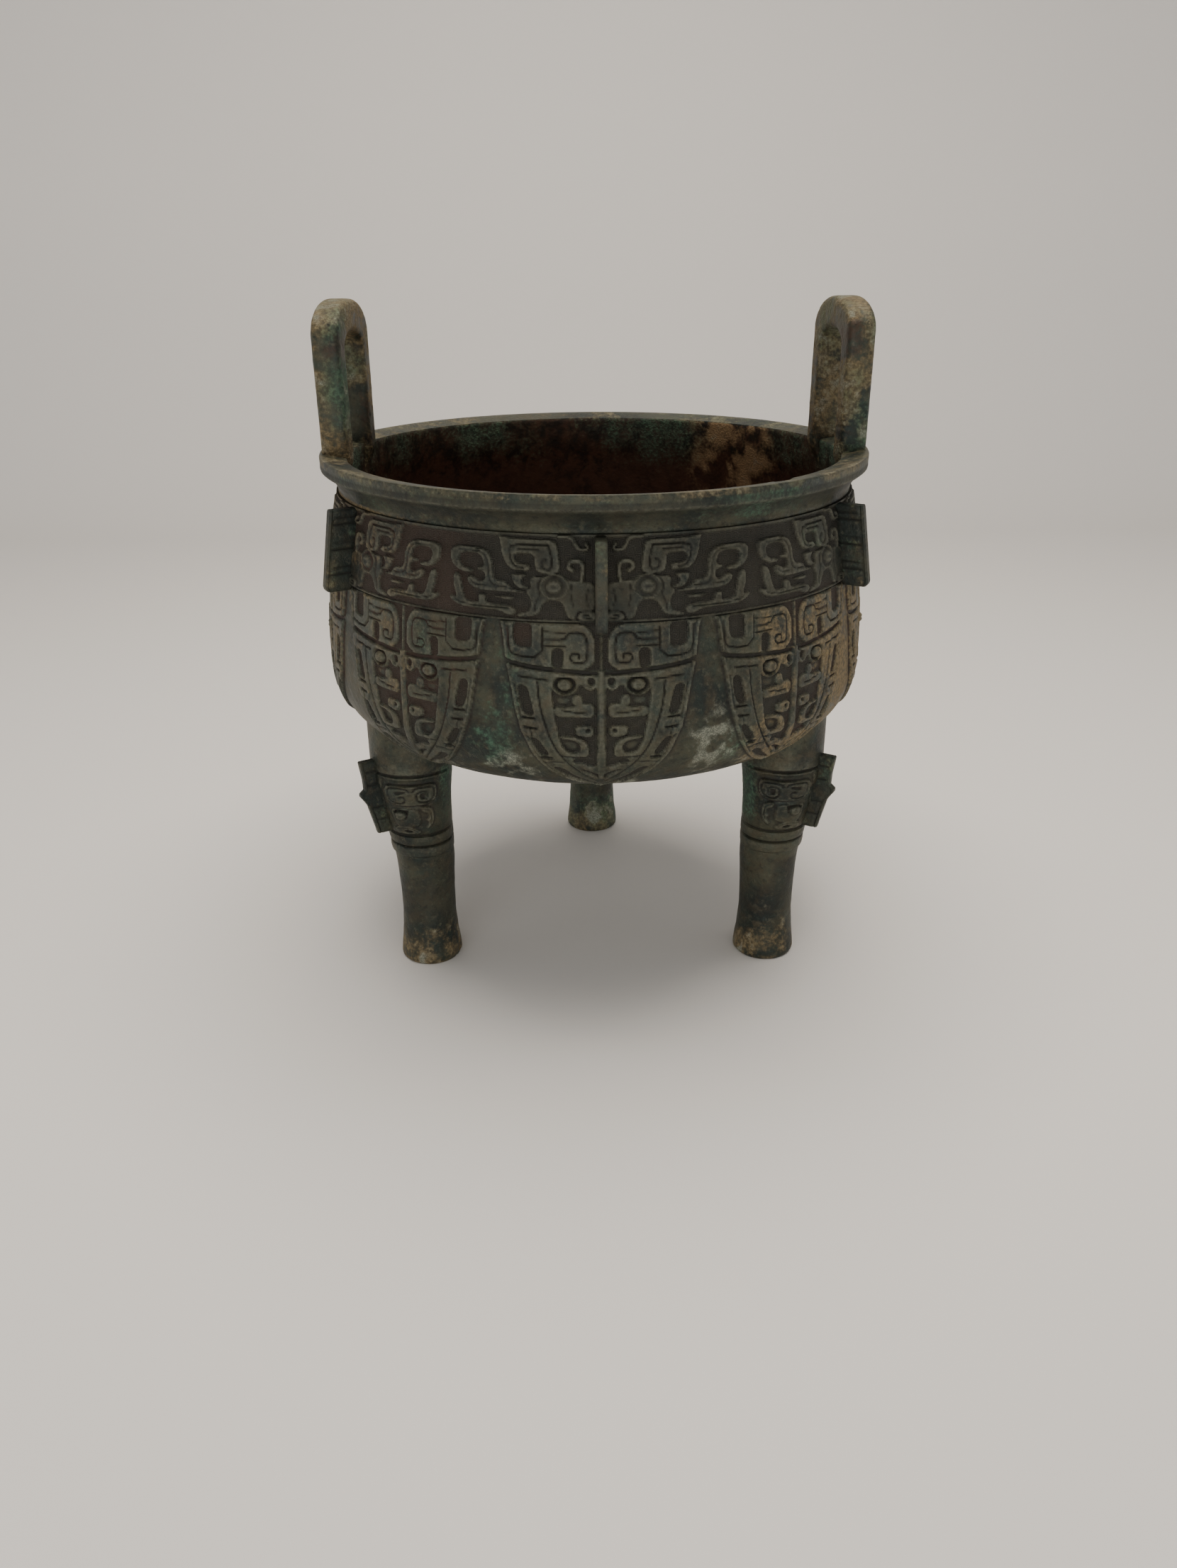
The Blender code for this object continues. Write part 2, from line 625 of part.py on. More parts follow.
def main():
    for obj in list(bpy.data.objects):
        bpy.data.objects.remove(obj)
    parts = bpy.data.collections.new("bronze_ding")
    cutters = bpy.data.collections.new("cutters")
    for collection in (parts, cutters):
        bpy.context.scene.collection.children.link(collection)

    vessel = turned("ding_vessel", bowl_outline(), BOWL_STEPS, parts)
    cavity = hide_cutter(turned("cavity", cavity_outline(), BOWL_STEPS, cutters))
    for azimuth in LEG_AZIMUTHS:
        boolean(vessel, leg(azimuth, cutters), "UNION")
        boolean(vessel, leg_crest(azimuth, cutters), "UNION")
    boolean(vessel, leg_relief(cutters), "UNION")
    for i in range(FLANGE_COUNT):
        boolean(vessel, belly_flange(360 * i / FLANGE_COUNT, cutters), "UNION")
    boolean(vessel, wall_relief(cutters), "UNION")
    boolean(vessel, cavity, "DIFFERENCE")
    for azimuth in EAR_AZIMUTHS:
        boolean(vessel, ear(azimuth, cutters), "UNION")
    boolean(vessel, rim_chip(cutters), "DIFFERENCE")
    vessel.data.materials.append(bronze())


main()
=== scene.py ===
"""Looks of the bronze ding: fine relief, patina, light and camera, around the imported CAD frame.

Meshes are worked out in millimetres and become metres in make_piece. Azimuth runs from the front (-Y)
towards +X, and s is the length down the wall from the neck.
"""
import math

import bmesh
import bpy
import numpy as np
from mathutils import Matrix, Vector


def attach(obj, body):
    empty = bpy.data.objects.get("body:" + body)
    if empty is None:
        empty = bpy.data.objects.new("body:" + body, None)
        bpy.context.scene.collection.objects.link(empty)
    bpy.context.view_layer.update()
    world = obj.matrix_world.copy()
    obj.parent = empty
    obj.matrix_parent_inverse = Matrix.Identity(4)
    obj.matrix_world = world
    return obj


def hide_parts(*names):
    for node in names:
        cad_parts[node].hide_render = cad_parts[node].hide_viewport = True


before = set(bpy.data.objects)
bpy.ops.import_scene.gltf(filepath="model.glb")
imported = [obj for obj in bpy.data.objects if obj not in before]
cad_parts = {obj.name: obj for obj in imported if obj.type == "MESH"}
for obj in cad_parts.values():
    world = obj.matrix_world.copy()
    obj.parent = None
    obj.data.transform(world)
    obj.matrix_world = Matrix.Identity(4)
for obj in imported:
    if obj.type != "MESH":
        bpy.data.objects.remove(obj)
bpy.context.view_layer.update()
NODE = "ding_vessel"
MM = 0.001
DEG = math.pi / 180

# Form of the vessel in mm, as in the CAD part; BULGE, FULL_R and FULL_Z are exponents
RIM_R = 150.0
NECK_R = 141.2
NECK_Z = 272.5
BELLY_R = 151.8
BELLY_Z = 181.0
BOTTOM_Z = 123.8
BULGE = 1.71
FULL_R = 2.608
FULL_Z = 2.865
WALL = 4.5
LEG_CIRCLE = 116.6

# The relief: half a mask and half a blade in degrees, and lengths down the wall in mm
MASKS = 6
BLADES = 9
MASK_HALF = 180 / MASKS
BLADE_HALF = 180 / BLADES
BAND_TOP = 1.4
BAND_LOW = 41.3
BLADES_LOW = 137.4
BLADES_FADE = (136.6, 137.3)

# Depths in mm: of the bowl's own wall under the carved sheets, and of the sheets' backs
SHELL_SINK = 0.9
BACK_DEPTH = 2.3

# Counts of vertices: down a sheet's back, and round the bowl
BACK_ROWS = 6
BOWL_COLUMNS = 384

rng = np.random.default_rng(7)


def unit(x):
    """Limits values to the range from 0 to 1."""
    return np.clip(x, 0, 1)


def smooth(x, a, b):
    """0 below a, 1 above b, an even S between; a may be the larger."""
    t = unit((x - a) / (b - a))
    return t * t * (3 - 2 * t)


def between(x, a, b, c, d):
    """Rises from 0 to 1 between a and b, and falls back between c and d."""
    return smooth(x, a, b) * (1 - smooth(x, c, d))


# Noise
LATTICE_SIZE = 32
LATTICE = rng.random((LATTICE_SIZE, LATTICE_SIZE, LATTICE_SIZE)).astype(np.float32)


def value_noise(points, size):
    """Smooth noise from 0 to 1 at points in mm, with blobs of about the given size."""
    q = np.asarray(points, float) / size + 100.0
    base = np.floor(q).astype(int)
    t = q - base
    t = t * t * (3 - 2 * t)
    out = np.zeros(q.shape[:-1])
    for corner in np.ndindex(2, 2, 2):
        weight = np.ones(q.shape[:-1])
        for axis, upper in enumerate(corner):
            weight = weight * (t[..., axis] if upper else 1 - t[..., axis])
        i, j, k = np.moveaxis((base + corner) % LATTICE_SIZE, -1, 0)
        out += weight * LATTICE[i, j, k]
    return out


def cloud(points, size, octaves=3):
    """Several octaves of noise, centred on 0 and about 1 wide."""
    total = np.zeros(np.asarray(points).shape[:-1])
    weight = 0.0
    for k in range(octaves):
        total += value_noise(np.asarray(points) + 31.7 * k, size / 2 ** k) * 0.5 ** k
        weight += 0.5 ** k
    return total / weight - 0.5


def blotches(points, seed=0.0):
    """Middle-sized and fine noise, which break up the patches of corrosion."""
    return cloud(points + 50 + seed, 15, 4), cloud(points + 90 + seed, 5, 3)


# The wall's outline
def outer_line(steps=900):
    """(radius, height) of the outer wall from the neck to the bottom's centre, in mm."""
    z = np.linspace(NECK_Z, BELLY_Z, steps // 3, endpoint=False)
    r = BELLY_R - (BELLY_R - NECK_R) * np.abs((z - BELLY_Z) / (NECK_Z - BELLY_Z)) ** BULGE
    a = np.linspace(0, 90, steps - steps // 3) * DEG
    low_r = BELLY_R * unit(np.cos(a)) ** (2 / FULL_R)
    low_z = BELLY_Z - (BELLY_Z - BOTTOM_Z) * np.sin(a) ** (2 / FULL_Z)
    return np.concatenate([r, low_r]), np.concatenate([z, low_z])


LINE_R, LINE_Z = outer_line()
LINE_S = np.concatenate([[0], np.cumsum(np.hypot(np.diff(LINE_R), np.diff(LINE_Z)))])


def wall_at(s):
    """Radius, height and outward normal (radial, upward) of the wall at a length down from the neck."""
    reach = 1.5
    r = np.interp(s, LINE_S, LINE_R)
    z = np.interp(s, LINE_S, LINE_Z)
    dr = np.interp(s + reach, LINE_S, LINE_R) - np.interp(s - reach, LINE_S, LINE_R)
    dz = np.interp(s + reach, LINE_S, LINE_Z) - np.interp(s - reach, LINE_S, LINE_Z)
    size = np.hypot(dr, dz)
    return r, z, -dz / size, dr / size


def wall_points(azimuth, s, lift):
    """Points in mm on the wall; azimuth in radians from the front, towards +X."""
    r, z, nr, nz = wall_at(s)
    r = r + nr * lift
    return np.stack([r * np.sin(azimuth), -r * np.cos(azimuth), z + nz * lift], -1)


# Drawing in a panel: distance fields
def curved(points, closed, rounds, reach):
    """Cuts the corners of a polyline in mm, by no more than a reach, so that it runs in curves."""
    p = np.array(points, float)
    for k in range(rounds):
        here = p if closed else p[:-1]
        way = (np.roll(p, -1, 0) if closed else p[1:]) - here
        size = np.maximum(np.linalg.norm(way, axis=1, keepdims=True), 1e-9)
        cut = np.minimum(0.25, reach / 2 ** k / size)
        q = np.stack([here + cut * way, here + (1 - cut) * way], 1).reshape(-1, 2)
        p = q if closed else np.concatenate([p[:1], q, p[-1:]])
    return p


def line_distance(grid, points):
    """Distance from every grid point to a polyline."""
    best = np.full(grid.shape[:-1], 1e9)
    for a, b in zip(points[:-1], points[1:]):
        d = b - a
        size = max(float(d @ d), 1e-9)
        t = unit(((grid - a) @ d) / size)
        best = np.minimum(best, np.hypot(*(np.moveaxis(grid - a - t[..., None] * d, -1, 0))))
    return best


def area_distance(grid, points):
    """Signed distance to a closed outline, negative inside."""
    ring = np.concatenate([points, points[:1]])
    d = line_distance(grid, ring)
    inside = np.zeros(grid.shape[:-1], bool)
    x, y = grid[..., 0], grid[..., 1]
    for (x0, y0), (x1, y1) in zip(ring[:-1], ring[1:]):
        if y0 == y1:
            continue
        crosses = ((y0 > y) != (y1 > y)) & (x < (x1 - x0) * (y - y0) / (y1 - y0) + x0)
        inside ^= crosses
    return np.where(inside, -d, d)


# The drawings count degrees round the vessel at this many mm each
MM_PER_DEG = RIM_R * DEG

# In mm: how far over the neck the drawings' zero lies, how wide an edge slopes, how far corners are cut
# on areas and on lines, and how high the main figures stand
TRACED_FROM = 3.6
EDGE = 0.5
AREA_REACH = 1.5
LINE_REACH = 5.0
RAISED = 1.9


class Panel:
    """Height, in mm over the wall, and ground share, over half of a mirrored motif.

    Points are (across, down). On the wall, across is in degrees and down counts from TRACED_FROM above
    the neck; on a leg, across is in mm round the leg and down is the height over the floor.
    """

    def __init__(self, across, down, scale=MM_PER_DEG, shift=TRACED_FROM, ground=1.0):
        self.u, self.s, self.scale, self.shift = across, down, scale, shift
        self.grid = np.stack(np.meshgrid(across, down), -1)
        self.h = np.zeros(self.grid.shape[:2])
        self.ground = np.full_like(self.h, ground)

    def local(self, points):
        """A drawing's points in mm on the grid."""
        p = np.array(points, float)
        return np.stack([p[:, 0] * self.scale, p[:, 1] - self.shift], -1)

    def share(self, points, rounds, edge):
        """1 inside an outline and 0 outside it, with a soft edge."""
        away = area_distance(self.grid, curved(self.local(points), True, rounds, AREA_REACH))
        return 1 - smooth(away, -edge, edge * 0.6)

    def plate(self, points, height, rounds=2, edge=EDGE):
        """Raises an area to a height."""
        self.pit(points, height, rounds, 0.0, edge)

    def pit(self, points, height, rounds=2, ground=1.0, edge=EDGE):
        """Sets an area to a height; ground says how much of it is patterned ground."""
        share = self.share(points, rounds, edge)
        self.h = self.h * (1 - share) + height * share
        self.ground = self.ground * (1 - share) + ground * share

    def away(self, points, rounds=2):
        """Distance of every grid point from a drawn line."""
        return line_distance(self.grid, curved(self.local(points), False, rounds, LINE_REACH))

    def groove(self, points, width, depth, rounds=2):
        """Cuts a rounded line down from whatever is there."""
        self.h = self.h - depth * (1 - smooth(self.away(points, rounds), width * 0.15, width * 0.62))

    def ridge(self, points, width, height, rounds=2):
        """Raises a rounded line to a height."""
        share = 1 - smooth(self.away(points, rounds), width * 0.28, width * 0.62)
        self.h = np.maximum(self.h, self.h * (1 - share) + height * share)
        self.ground = self.ground * (1 - share)

    def eye(self, at, wide, tall, height, slot=0.0, ring=0.0):
        """An oval boss in a sunk line, with a slot for the pupil and a raised ring if asked."""
        x = self.grid[..., 0] - at[0] * self.scale
        y = self.grid[..., 1] - at[1] + self.shift
        share = np.hypot(x / wide, y / tall)
        away = (share - 1) * min(wide, tall)
        if ring:
            band = np.exp(-((away - 1.7) / 0.75) ** 2)
            self.h = np.maximum(self.h, ring * band)
            self.ground = self.ground * (1 - band)
        self.h = self.h - 0.2 * np.exp(-((away - 0.4) / 0.45) ** 2)
        dome = height * unit(1 - share ** 2) ** 0.4
        self.h = np.where(share < 1, np.maximum(self.h, dome), self.h)
        self.ground = np.where(away < 0.8, 0, self.ground)
        self.h = self.h - slot * np.exp(-((x / wide / 0.55) ** 2 + (y / tall / 0.24) ** 2) ** 1.5)


def mask_panel():
    """Half of a mask of the upper band, from its flange outwards."""
    p = Panel(np.linspace(0, MASK_HALF * MM_PER_DEG, 109), np.linspace(BAND_TOP, BAND_LOW, 58))
    face = [(1.0, 27), (3.2, 25.8), (6.4, 25.2), (7.2, 24.2), (12.8, 24.2), (13.0, 27), (12.7, 29.3),
            (13.6, 30.2), (13.6, 32.0), (12.9, 34.0), (12.7, 37), (13.0, 40.3), (15.4, 41.8),
            (15.2, 43.2), (12.6, 42.9), (11.2, 41.4), (10.7, 38.2), (10.0, 35.8), (9.2, 34.9),
            (7.9, 34.9), (7.0, 35.9), (6.6, 38.2), (6.3, 41.5), (5.6, 43.4), (4.5, 43.9), (4.3, 40.6),
            (3.4, 39.4), (1.0, 39.8)]
    p.plate(face, RAISED * 0.72)
    p.plate([(0.6, 39.8), (3.4, 39.6), (4.2, 41.0), (4.3, 43.8), (0.6, 44.0)], RAISED)
    horn = [(8.0, 8.6), (9.2, 7.2), (17.2, 7.0), (19.3, 5.8), (18.8, 8.8), (18.4, 14.5), (17.6, 19),
            (16.3, 21.8), (13.0, 22.0), (12.8, 20.4), (13.2, 18.6), (15.0, 18.4), (15.8, 17.2),
            (15.9, 14.2), (12.2, 14.2), (12.1, 19.4), (11.7, 22.1), (10.7, 22.9), (8.0, 22.9),
            (7.3, 21.4), (7.5, 15.0)]
    p.plate(horn, RAISED, 1)
    ear = [(13.3, 23.2), (16.6, 23.2), (16.3, 26), (15.8, 28.6), (15.0, 29.9), (13.3, 30.3), (13.0, 29.2),
           (14.2, 28.4), (14.5, 25.6)]
    body = [(13.6, 31.6), (15.4, 30.6), (16.6, 29.6), (17.3, 27.0), (19.9, 26.4), (20.0, 20),
            (20.5, 15.6), (21.8, 12.8), (24.6, 12.2), (28.2, 12.6), (28.9, 14.8), (28.8, 19.4),
            (27.9, 22.3), (26.4, 24.3), (24.2, 24.4), (23.9, 22.6), (25.8, 22.1), (26.8, 20.2),
            (27.0, 17.0), (26.3, 15.4), (23.4, 15.2), (22.3, 16.6), (21.9, 19.6), (22.0, 21.0),
            (23.2, 21.3), (23.1, 23.0), (21.8, 23.4), (21.5, 25.4), (21.8, 27.4), (22.8, 27.6),
            (23.6, 26.2), (24.4, 25.6), (25.2, 26.4), (25.0, 29.0), (24.0, 31.1), (22.2, 32.0),
            (20.4, 32.2), (17.0, 32.0)]
    p.plate(body, RAISED, 2)
    p.plate(ear, RAISED * 0.9)
    foot = [(15.3, 40.2), (16.0, 38.4), (17.4, 37.8), (20.8, 37.8), (21.2, 36.2), (21.4, 33.6),
            (22.8, 33.6), (22.8, 36.2), (22.6, 37.8), (25.2, 37.4), (25.8, 34.6), (26.2, 30.0),
            (26.7, 25.4), (28.1, 24.8), (28.1, 30.0), (27.5, 34.4), (27.3, 36.4), (28.6, 35.4),
            (28.9, 37.0), (27.4, 39.6), (25.4, 40.6), (18.4, 40.8), (17.7, 42.0), (16.7, 42.7),
            (15.6, 42.1)]
    p.plate(foot, RAISED, 2)
    p.plate([(16.0, 33.6), (19.6, 33.8), (19.4, 35.0), (17.0, 35.7), (16.0, 35.2)], RAISED * 0.7)
    hook = [(3.5, 25.4), (3.2, 21), (3.3, 18.2), (4.0, 16.7), (5.1, 16.7), (5.9, 18.2), (5.9, 20),
            (5.1, 21.0)]
    p.ridge(hook, 2.3, RAISED)
    p.ridge([(7.6, 6.0), (5.8, 6.1), (5.0, 7.2), (4.7, 9.2), (4.1, 11.4), (2.9, 12.0), (2.2, 10.8),
             (2.7, 9.2)], 2.0, RAISED)
    p.groove([(9.6, 10.0), (16.6, 9.9), (16.9, 12.6), (16.6, 16.6), (15.9, 19.9),
              (14.2, 20.2)], 1.0, 0.85, 1)
    p.groove([(9.6, 10.0), (9.0, 14), (8.8, 20.9), (10.6, 20.7), (10.8, 16.6), (9.9, 16.4)], 1.0, 0.85, 1)
    p.groove([(11.4, 12.1), (15.2, 12.0)], 0.9, 0.7, 1)
    p.groove([(15.0, 30.9), (17.6, 29.4), (20.6, 29.0), (20.9, 20), (21.4, 16.4), (22.6, 13.8),
              (27.0, 13.8)], 0.9, 0.6)
    p.groove([(20.8, 29.2), (23.6, 29.6), (24.4, 27.2)], 0.8, 0.5)
    p.groove([(16.8, 39.4), (25.8, 39.1), (27.4, 37.4)], 0.9, 0.6)
    p.groove([(5.2, 27.4), (5.5, 31.5), (5.0, 37)], 1.0, 0.6)
    p.groove([(2.2, 29.4), (2.6, 34), (2.2, 37)], 0.9, 0.5)
    p.groove([(10.9, 25.4), (11.6, 28.2), (11.0, 32.4), (11.9, 36.5), (12.0, 40)], 1.0, 0.6)
    p.groove([(2.2, 41.4), (3.1, 41.2), (3.2, 42.6), (1.6, 42.8)], 0.9, 0.7)
    p.eye((8.4, 28.6), 4.4, 3.7, 3.35, 0.6, 1.9)
    p.ridge([(-1, 44.4), (12.4, 44.5), (31, 44.3)], 1.1, 1.1, 0)
    top = 1 - smooth(p.grid[..., 1], BAND_TOP + 0.8, BAND_TOP + 1.9)
    p.h = np.maximum(p.h, 1.1 * top)
    p.ground = p.ground * (1 - top)
    return p


# Half the width of a blade in degrees, by the place down the drawing
BLADE_DOWN = [44, 50, 65, 75, 90, 100, 110, 115, 120, 125, 130, 134, 137, 138.6]
BLADE_WIDE = [18.7, 18.1, 17.4, 16.6, 15.6, 14.4, 12.8, 11.5, 10.0, 8.1, 5.6, 3.2, 1.1, 0.3]


def blade_panel():
    """Half of a hanging blade, from its middle outwards, with the plain wall beyond it."""
    across = np.linspace(0, BLADE_HALF * MM_PER_DEG, 77)
    p = Panel(across, np.linspace(BAND_LOW, BLADES_LOW, 139), ground=0.0)
    u, s = p.grid[..., 0], p.grid[..., 1] + TRACED_FROM
    from_edge = (u - np.interp(s, BLADE_DOWN, BLADE_WIDE) * MM_PER_DEG) * 0.9
    starts = smooth(s, 45.1, 46.0)
    p.h = RAISED * 0.85 * (1 - smooth(from_edge, -EDGE, EDGE * 0.6)) * starts
    p.h -= 0.75 * np.exp(-((from_edge + 1.9) / 0.55) ** 2) * starts
    side = [(13.4, 75.6), (15.2, 75.2), (14.9, 84), (14.0, 90.2), (12.1, 90.4), (12.7, 83)]
    p.pit(side, 0.0)
    p.pit([(11.8, 101.6), (13.2, 101.4), (12.0, 108.0), (10.8, 111.6), (9.4, 110.4), (10.8, 105)], 0.0)
    tip = [(8.4, 117.6), (9.3, 118.8), (7.6, 123.2), (4.8, 128.4), (2.0, 133.0), (0.5, 135.8), (0.5, 133),
           (2.8, 128.6), (5.6, 122.8), (7.0, 118.6)]
    p.pit(tip, 0.0)
    face = [(0.75, 75), (9.0, 74.2), (8.8, 82), (8.4, 90), (7.9, 98), (7.3, 105), (5.9, 110.8),
            (3.0, 115.8), (0.75, 117.6)]
    p.pit(face, 0.25, ground=0.85)
    p.pit([(6.7, 57.0), (8.8, 57.0), (8.8, 66.4), (6.9, 67.0)], 0.0, 1)
    p.pit([(12.5, 45.6), (16.1, 45.4), (15.8, 55.4), (14.9, 57.2), (12.5, 57.6)], 0.1, 1)
    p.groove([(1.0, 68.8), (4.5, 68.4), (9.0, 67.5), (13.0, 66.5), (16.4, 65.0), (17.4, 63.8)], 2.6, 1.9)
    horn = [(10.2, 52.9), (6.4, 53.0), (6.0, 49.6), (3.4, 49.4), (2.5, 52.4), (2.5, 61.4), (3.0, 63.8),
            (5.0, 63.9), (5.6, 61.6), (5.2, 59.2), (3.9, 59.4), (3.9, 61.4)]
    p.groove(horn, 1.0, 0.85, 1)
    p.groove([(6.4, 56.2), (10.2, 56.2)], 0.9, 0.75, 1)
    p.groove([(6.2, 49.8), (10.4, 49.2)], 0.8, 0.6, 1)
    p.groove([(10.5, 47.4), (10.6, 61.9), (16.0, 61.2), (16.8, 58), (17.0, 47.4)], 1.0, 0.85, 1)
    frame_bar = [(0.9, 69.8), (8.8, 69.4), (16.9, 67.0), (16.9, 71.0), (16.2, 74.6), (14.8, 75.0),
                 (14.2, 73.6), (9.4, 74.2), (0.9, 74.2)]
    p.plate(frame_bar, RAISED * 0.9, 1)
    p.groove([(9.6, 72.4), (15.0, 71.0)], 1.0, 0.8, 0)
    p.groove([(11.5, 73.2), (11.1, 85), (10.1, 95), (8.9, 104.4), (7.0, 112.6), (4.4, 120.2),
              (0.9, 129.6)], 1.0, 0.85)
    p.pit([(4.4, 70.9), (8.6, 70.9), (8.8, 78.6), (4.2, 78.8)], 0.3, 1, 0.2)
    hook = [(3.6, 70.4), (3.2, 72.8), (2.9, 75.4), (1.9, 76.6), (1.3, 75.6)]
    p.ridge(hook, 1.7, RAISED * 0.9)
    p.pit([(1.2, 70.9), (2.5, 70.9), (2.3, 74.4), (1.2, 74.6)], 0.1, 1, 0.5)
    cheek = [(1.2, 83.8), (3.3, 83.0), (5.0, 85.2), (8.6, 85.3), (8.4, 90.4), (1.2, 90.6)]
    p.plate(cheek, RAISED * 0.85, 1)
    p.plate([(3.5, 79.2), (5.2, 79.4), (5.3, 84.8), (3.2, 84.6)], RAISED * 0.7, 1)
    p.pit([(5.5, 80.8), (7.9, 80.6), (8.3, 82.6), (7.6, 84.3), (5.7, 84.2)], -0.5, 1, 0)
    p.groove([(2.6, 88.4), (4.6, 88.0), (7.2, 86.9)], 0.9, 0.7)
    p.groove([(1.4, 92.8), (2.7, 92.0), (4.4, 93.0)], 1.8, 0.8)
    p.plate([(1.3, 94.4), (4.7, 94.4), (5.0, 98.6), (3.6, 100.4), (1.3, 100.2)], RAISED, 1)
    p.groove([(2.3, 96.6), (2.5, 97.0)], 1.8, 1.4, 0)
    p.groove([(4.9, 97.1), (6.5, 97.0)], 1.8, 1.2, 0)
    scroll = [(2.2, 111), (2.2, 105.6), (2.9, 102), (4.4, 100.0), (7.5, 99.8), (7.6, 101.4), (5.6, 102),
              (4.2, 103.2), (3.8, 106), (4.2, 108.6), (6.2, 108.5), (7.0, 105), (7.8, 105), (7.4, 109),
              (6.2, 111.2)]
    p.plate(scroll, RAISED, 1)
    p.pit([(4.3, 103.4), (6.6, 102.8), (6.9, 105.4), (6.1, 107.8), (4.5, 108.0)], -0.5, 1, 0)
    p.groove([(1.6, 111.3), (4, 111.4), (7.0, 111.0)], 0.9, 0.8)
    p.groove([(0.9, 115.4), (1.8, 114.4), (3.0, 113.9), (4.9, 113.9)], 2.0, 1.7)
    p.plate([(1.3, 118.6), (1.9, 117.0), (3.6, 116.6), (3.6, 117.8), (2.2, 119.4)], RAISED * 1.1, 1)
    p.pit([(0.4, 126.8), (0.5, 123), (1.6, 121.0), (3.4, 118.9), (3.9, 119.6), (2.0, 123)], -0.2, 1, 0)
    claw = [(11.0, 92.6), (12.4, 91.8), (14.5, 91.6), (15.1, 94.2), (14.8, 98.3), (13.8, 100.8),
            (11.6, 101.0), (10.6, 98.4)]
    p.plate(claw, RAISED * 1.1, 1)
    p.groove([(11.7, 96.6), (14.0, 96.0)], 1.2, 1.1, 0)
    p.groove([(12.2, 91.6), (14.2, 91.3)], 1.2, 1.0, 0)
    p.groove([(12.9, 96.4), (12.6, 100.4)], 0.9, 0.7, 0)
    p.groove([(9.2, 112.0), (11.0, 112.4)], 1.6, 1.5, 0)
    p.groove([(6.8, 114.2), (10.6, 115.2)], 0.9, 0.7, 0)
    p.eye((6.55, 74.4), 3.7, 3.0, 3.4, 0.7, 1.7)
    nose = 0.93 + 0.82 * smooth(s, 101, 109) * (1 - smooth(s, 114, 126))
    ridge = (1 - smooth(u, nose, nose + 1.1)) * smooth(s, 66, 68) * (1 - smooth(s, 126, 131))
    p.h = np.maximum(p.h, RAISED * 1.05 * ridge)
    keel = (1 - smooth(u, 0.5, 1.1)) * smooth(s, 126, 131) * (1 - smooth(s, 137, 139))
    p.h = np.maximum(p.h, RAISED * 0.95 * keel)
    p.pit([(-1.3, 44.0), (1.15, 44.0), (1.15, 67.4), (-1.3, 67.4)], 0.15, 0)
    p.pit([(0.6, 43.0), (4.9, 43.0), (4.4, 45.3), (3.0, 46.0), (1.9, 48.4), (1.2, 53.0),
           (0.6, 53.0)], 0.15, 1)
    p.pit([(0.6, 67.6), (0.6, 62.6), (1.2, 62.8), (1.9, 65.6), (3.4, 67.2)], 0.15, 1)
    p.ridge([(0, 45), (0, 67.6)], 1.5, RAISED * 0.75, 0)
    p.h = p.h * (1 - 0.9 * (1 - smooth(s, 44.6, 45.4)))
    return p


# Patina by place: strength, azimuth in degrees, mm down the drawing, radius along and radius across
GREEN_SPOTS = [(1.0, -22, 104, 20, 13), (0.5, -17, 72, 30, 8), (0.7, -36, 60, 12, 9), (0.7, 26, 112, 16, 12),
               (0.6, 46, 18, 12, 16), (0.7, 150, 100, 26, 24), (0.7, -130, 80, 30, 20)]
ASH_SPOTS = [(1.0, 22, 106, 17, 14), (0.9, -66, 24, 19, 9), (0.55, -18, 118, 14, 18),
             (0.6, -62, 120, 16, 26), (0.6, 100, 110, 18, 22), (0.5, -160, 112, 14, 26)]
OCHRE_SPOTS = [(0.5, 30, 116, 14, 14), (0.45, -170, 60, 30, 50)]
BROWN_SPOTS = [(0.7, -15, 50, 9, 12), (0.6, 170, 60, 40, 70)]


def spots(azimuth, s, table):
    """Sum of a table's soft oval patches on the wall."""
    total = 0.0
    for strength, at, down, along, across in table:
        turn = (azimuth - at + 180) % 360 - 180
        away = (turn * MM_PER_DEG / across) ** 2 + ((s - down) / along) ** 2
        total = total + strength * np.exp(-away)
    return total


def wall_patina(points, azimuth, s, recess):
    """Shares of each kind of corrosion on the outside of the bowl, with the pale grey share also painting
    light on the lower belly; azimuth in degrees.
    """
    azimuth = (azimuth + 180) % 360 - 180
    broad = cloud(points, 46, 4)
    middle, fine = blotches(points)
    green = (spots(azimuth, s, GREEN_SPOTS) + 0.04) * (0.75 + 2.0 * middle + 1.6 * fine)
    # Painted light: from 108 mm down the drawing the lower belly turns pale grey, as if lit from the bright
    # floor
    ash_and_underside_light = 1.1 * spots(azimuth, s, ASH_SPOTS) + 0.75 * smooth(s, 108, 146)
    ash_and_underside_light = ash_and_underside_light * (0.62 + 2.4 * middle + 2.6 * fine)
    ochre = 1.05 * between(azimuth, 24, 38, 90, 112) * smooth(s, 40, 50)
    ochre += 0.75 * between(-azimuth, 50, 62, 84, 100) * (1 - smooth(s, 44, 60))
    ochre += 0.6 * between(-azimuth, 24, 44, 90, 112) * (1 - smooth(s, 92, 110))
    ochre += spots(azimuth, s, OCHRE_SPOTS)
    ochre = ochre * (0.75 + 1.7 * broad + 1.5 * middle + 0.8 * fine) * (1 - 0.75 * recess)
    brown = between(-azimuth, 17, 30, 70, 84) * (1 - smooth(s, 90, 112))
    brown += 0.8 * between(azimuth, 32, 42, 62, 72) * smooth(s, 36, 48)
    brown += spots(azimuth, s, BROWN_SPOTS)
    rust = (0.15 + 0.85 * brown) * smooth(recess, 0.2, 0.7) * (0.9 + 1.5 * broad + 0.8 * middle)
    return {"verdigris": unit(green), "ash_and_underside_light": unit(ash_and_underside_light), "ochre": unit(ochre), "rust": unit(rust)}


def rough(points):
    """Uneven surface left by corrosion, in mm."""
    return 0.34 * cloud(points, 22, 3) + 0.26 * cloud(points + 70, 4.0, 2)


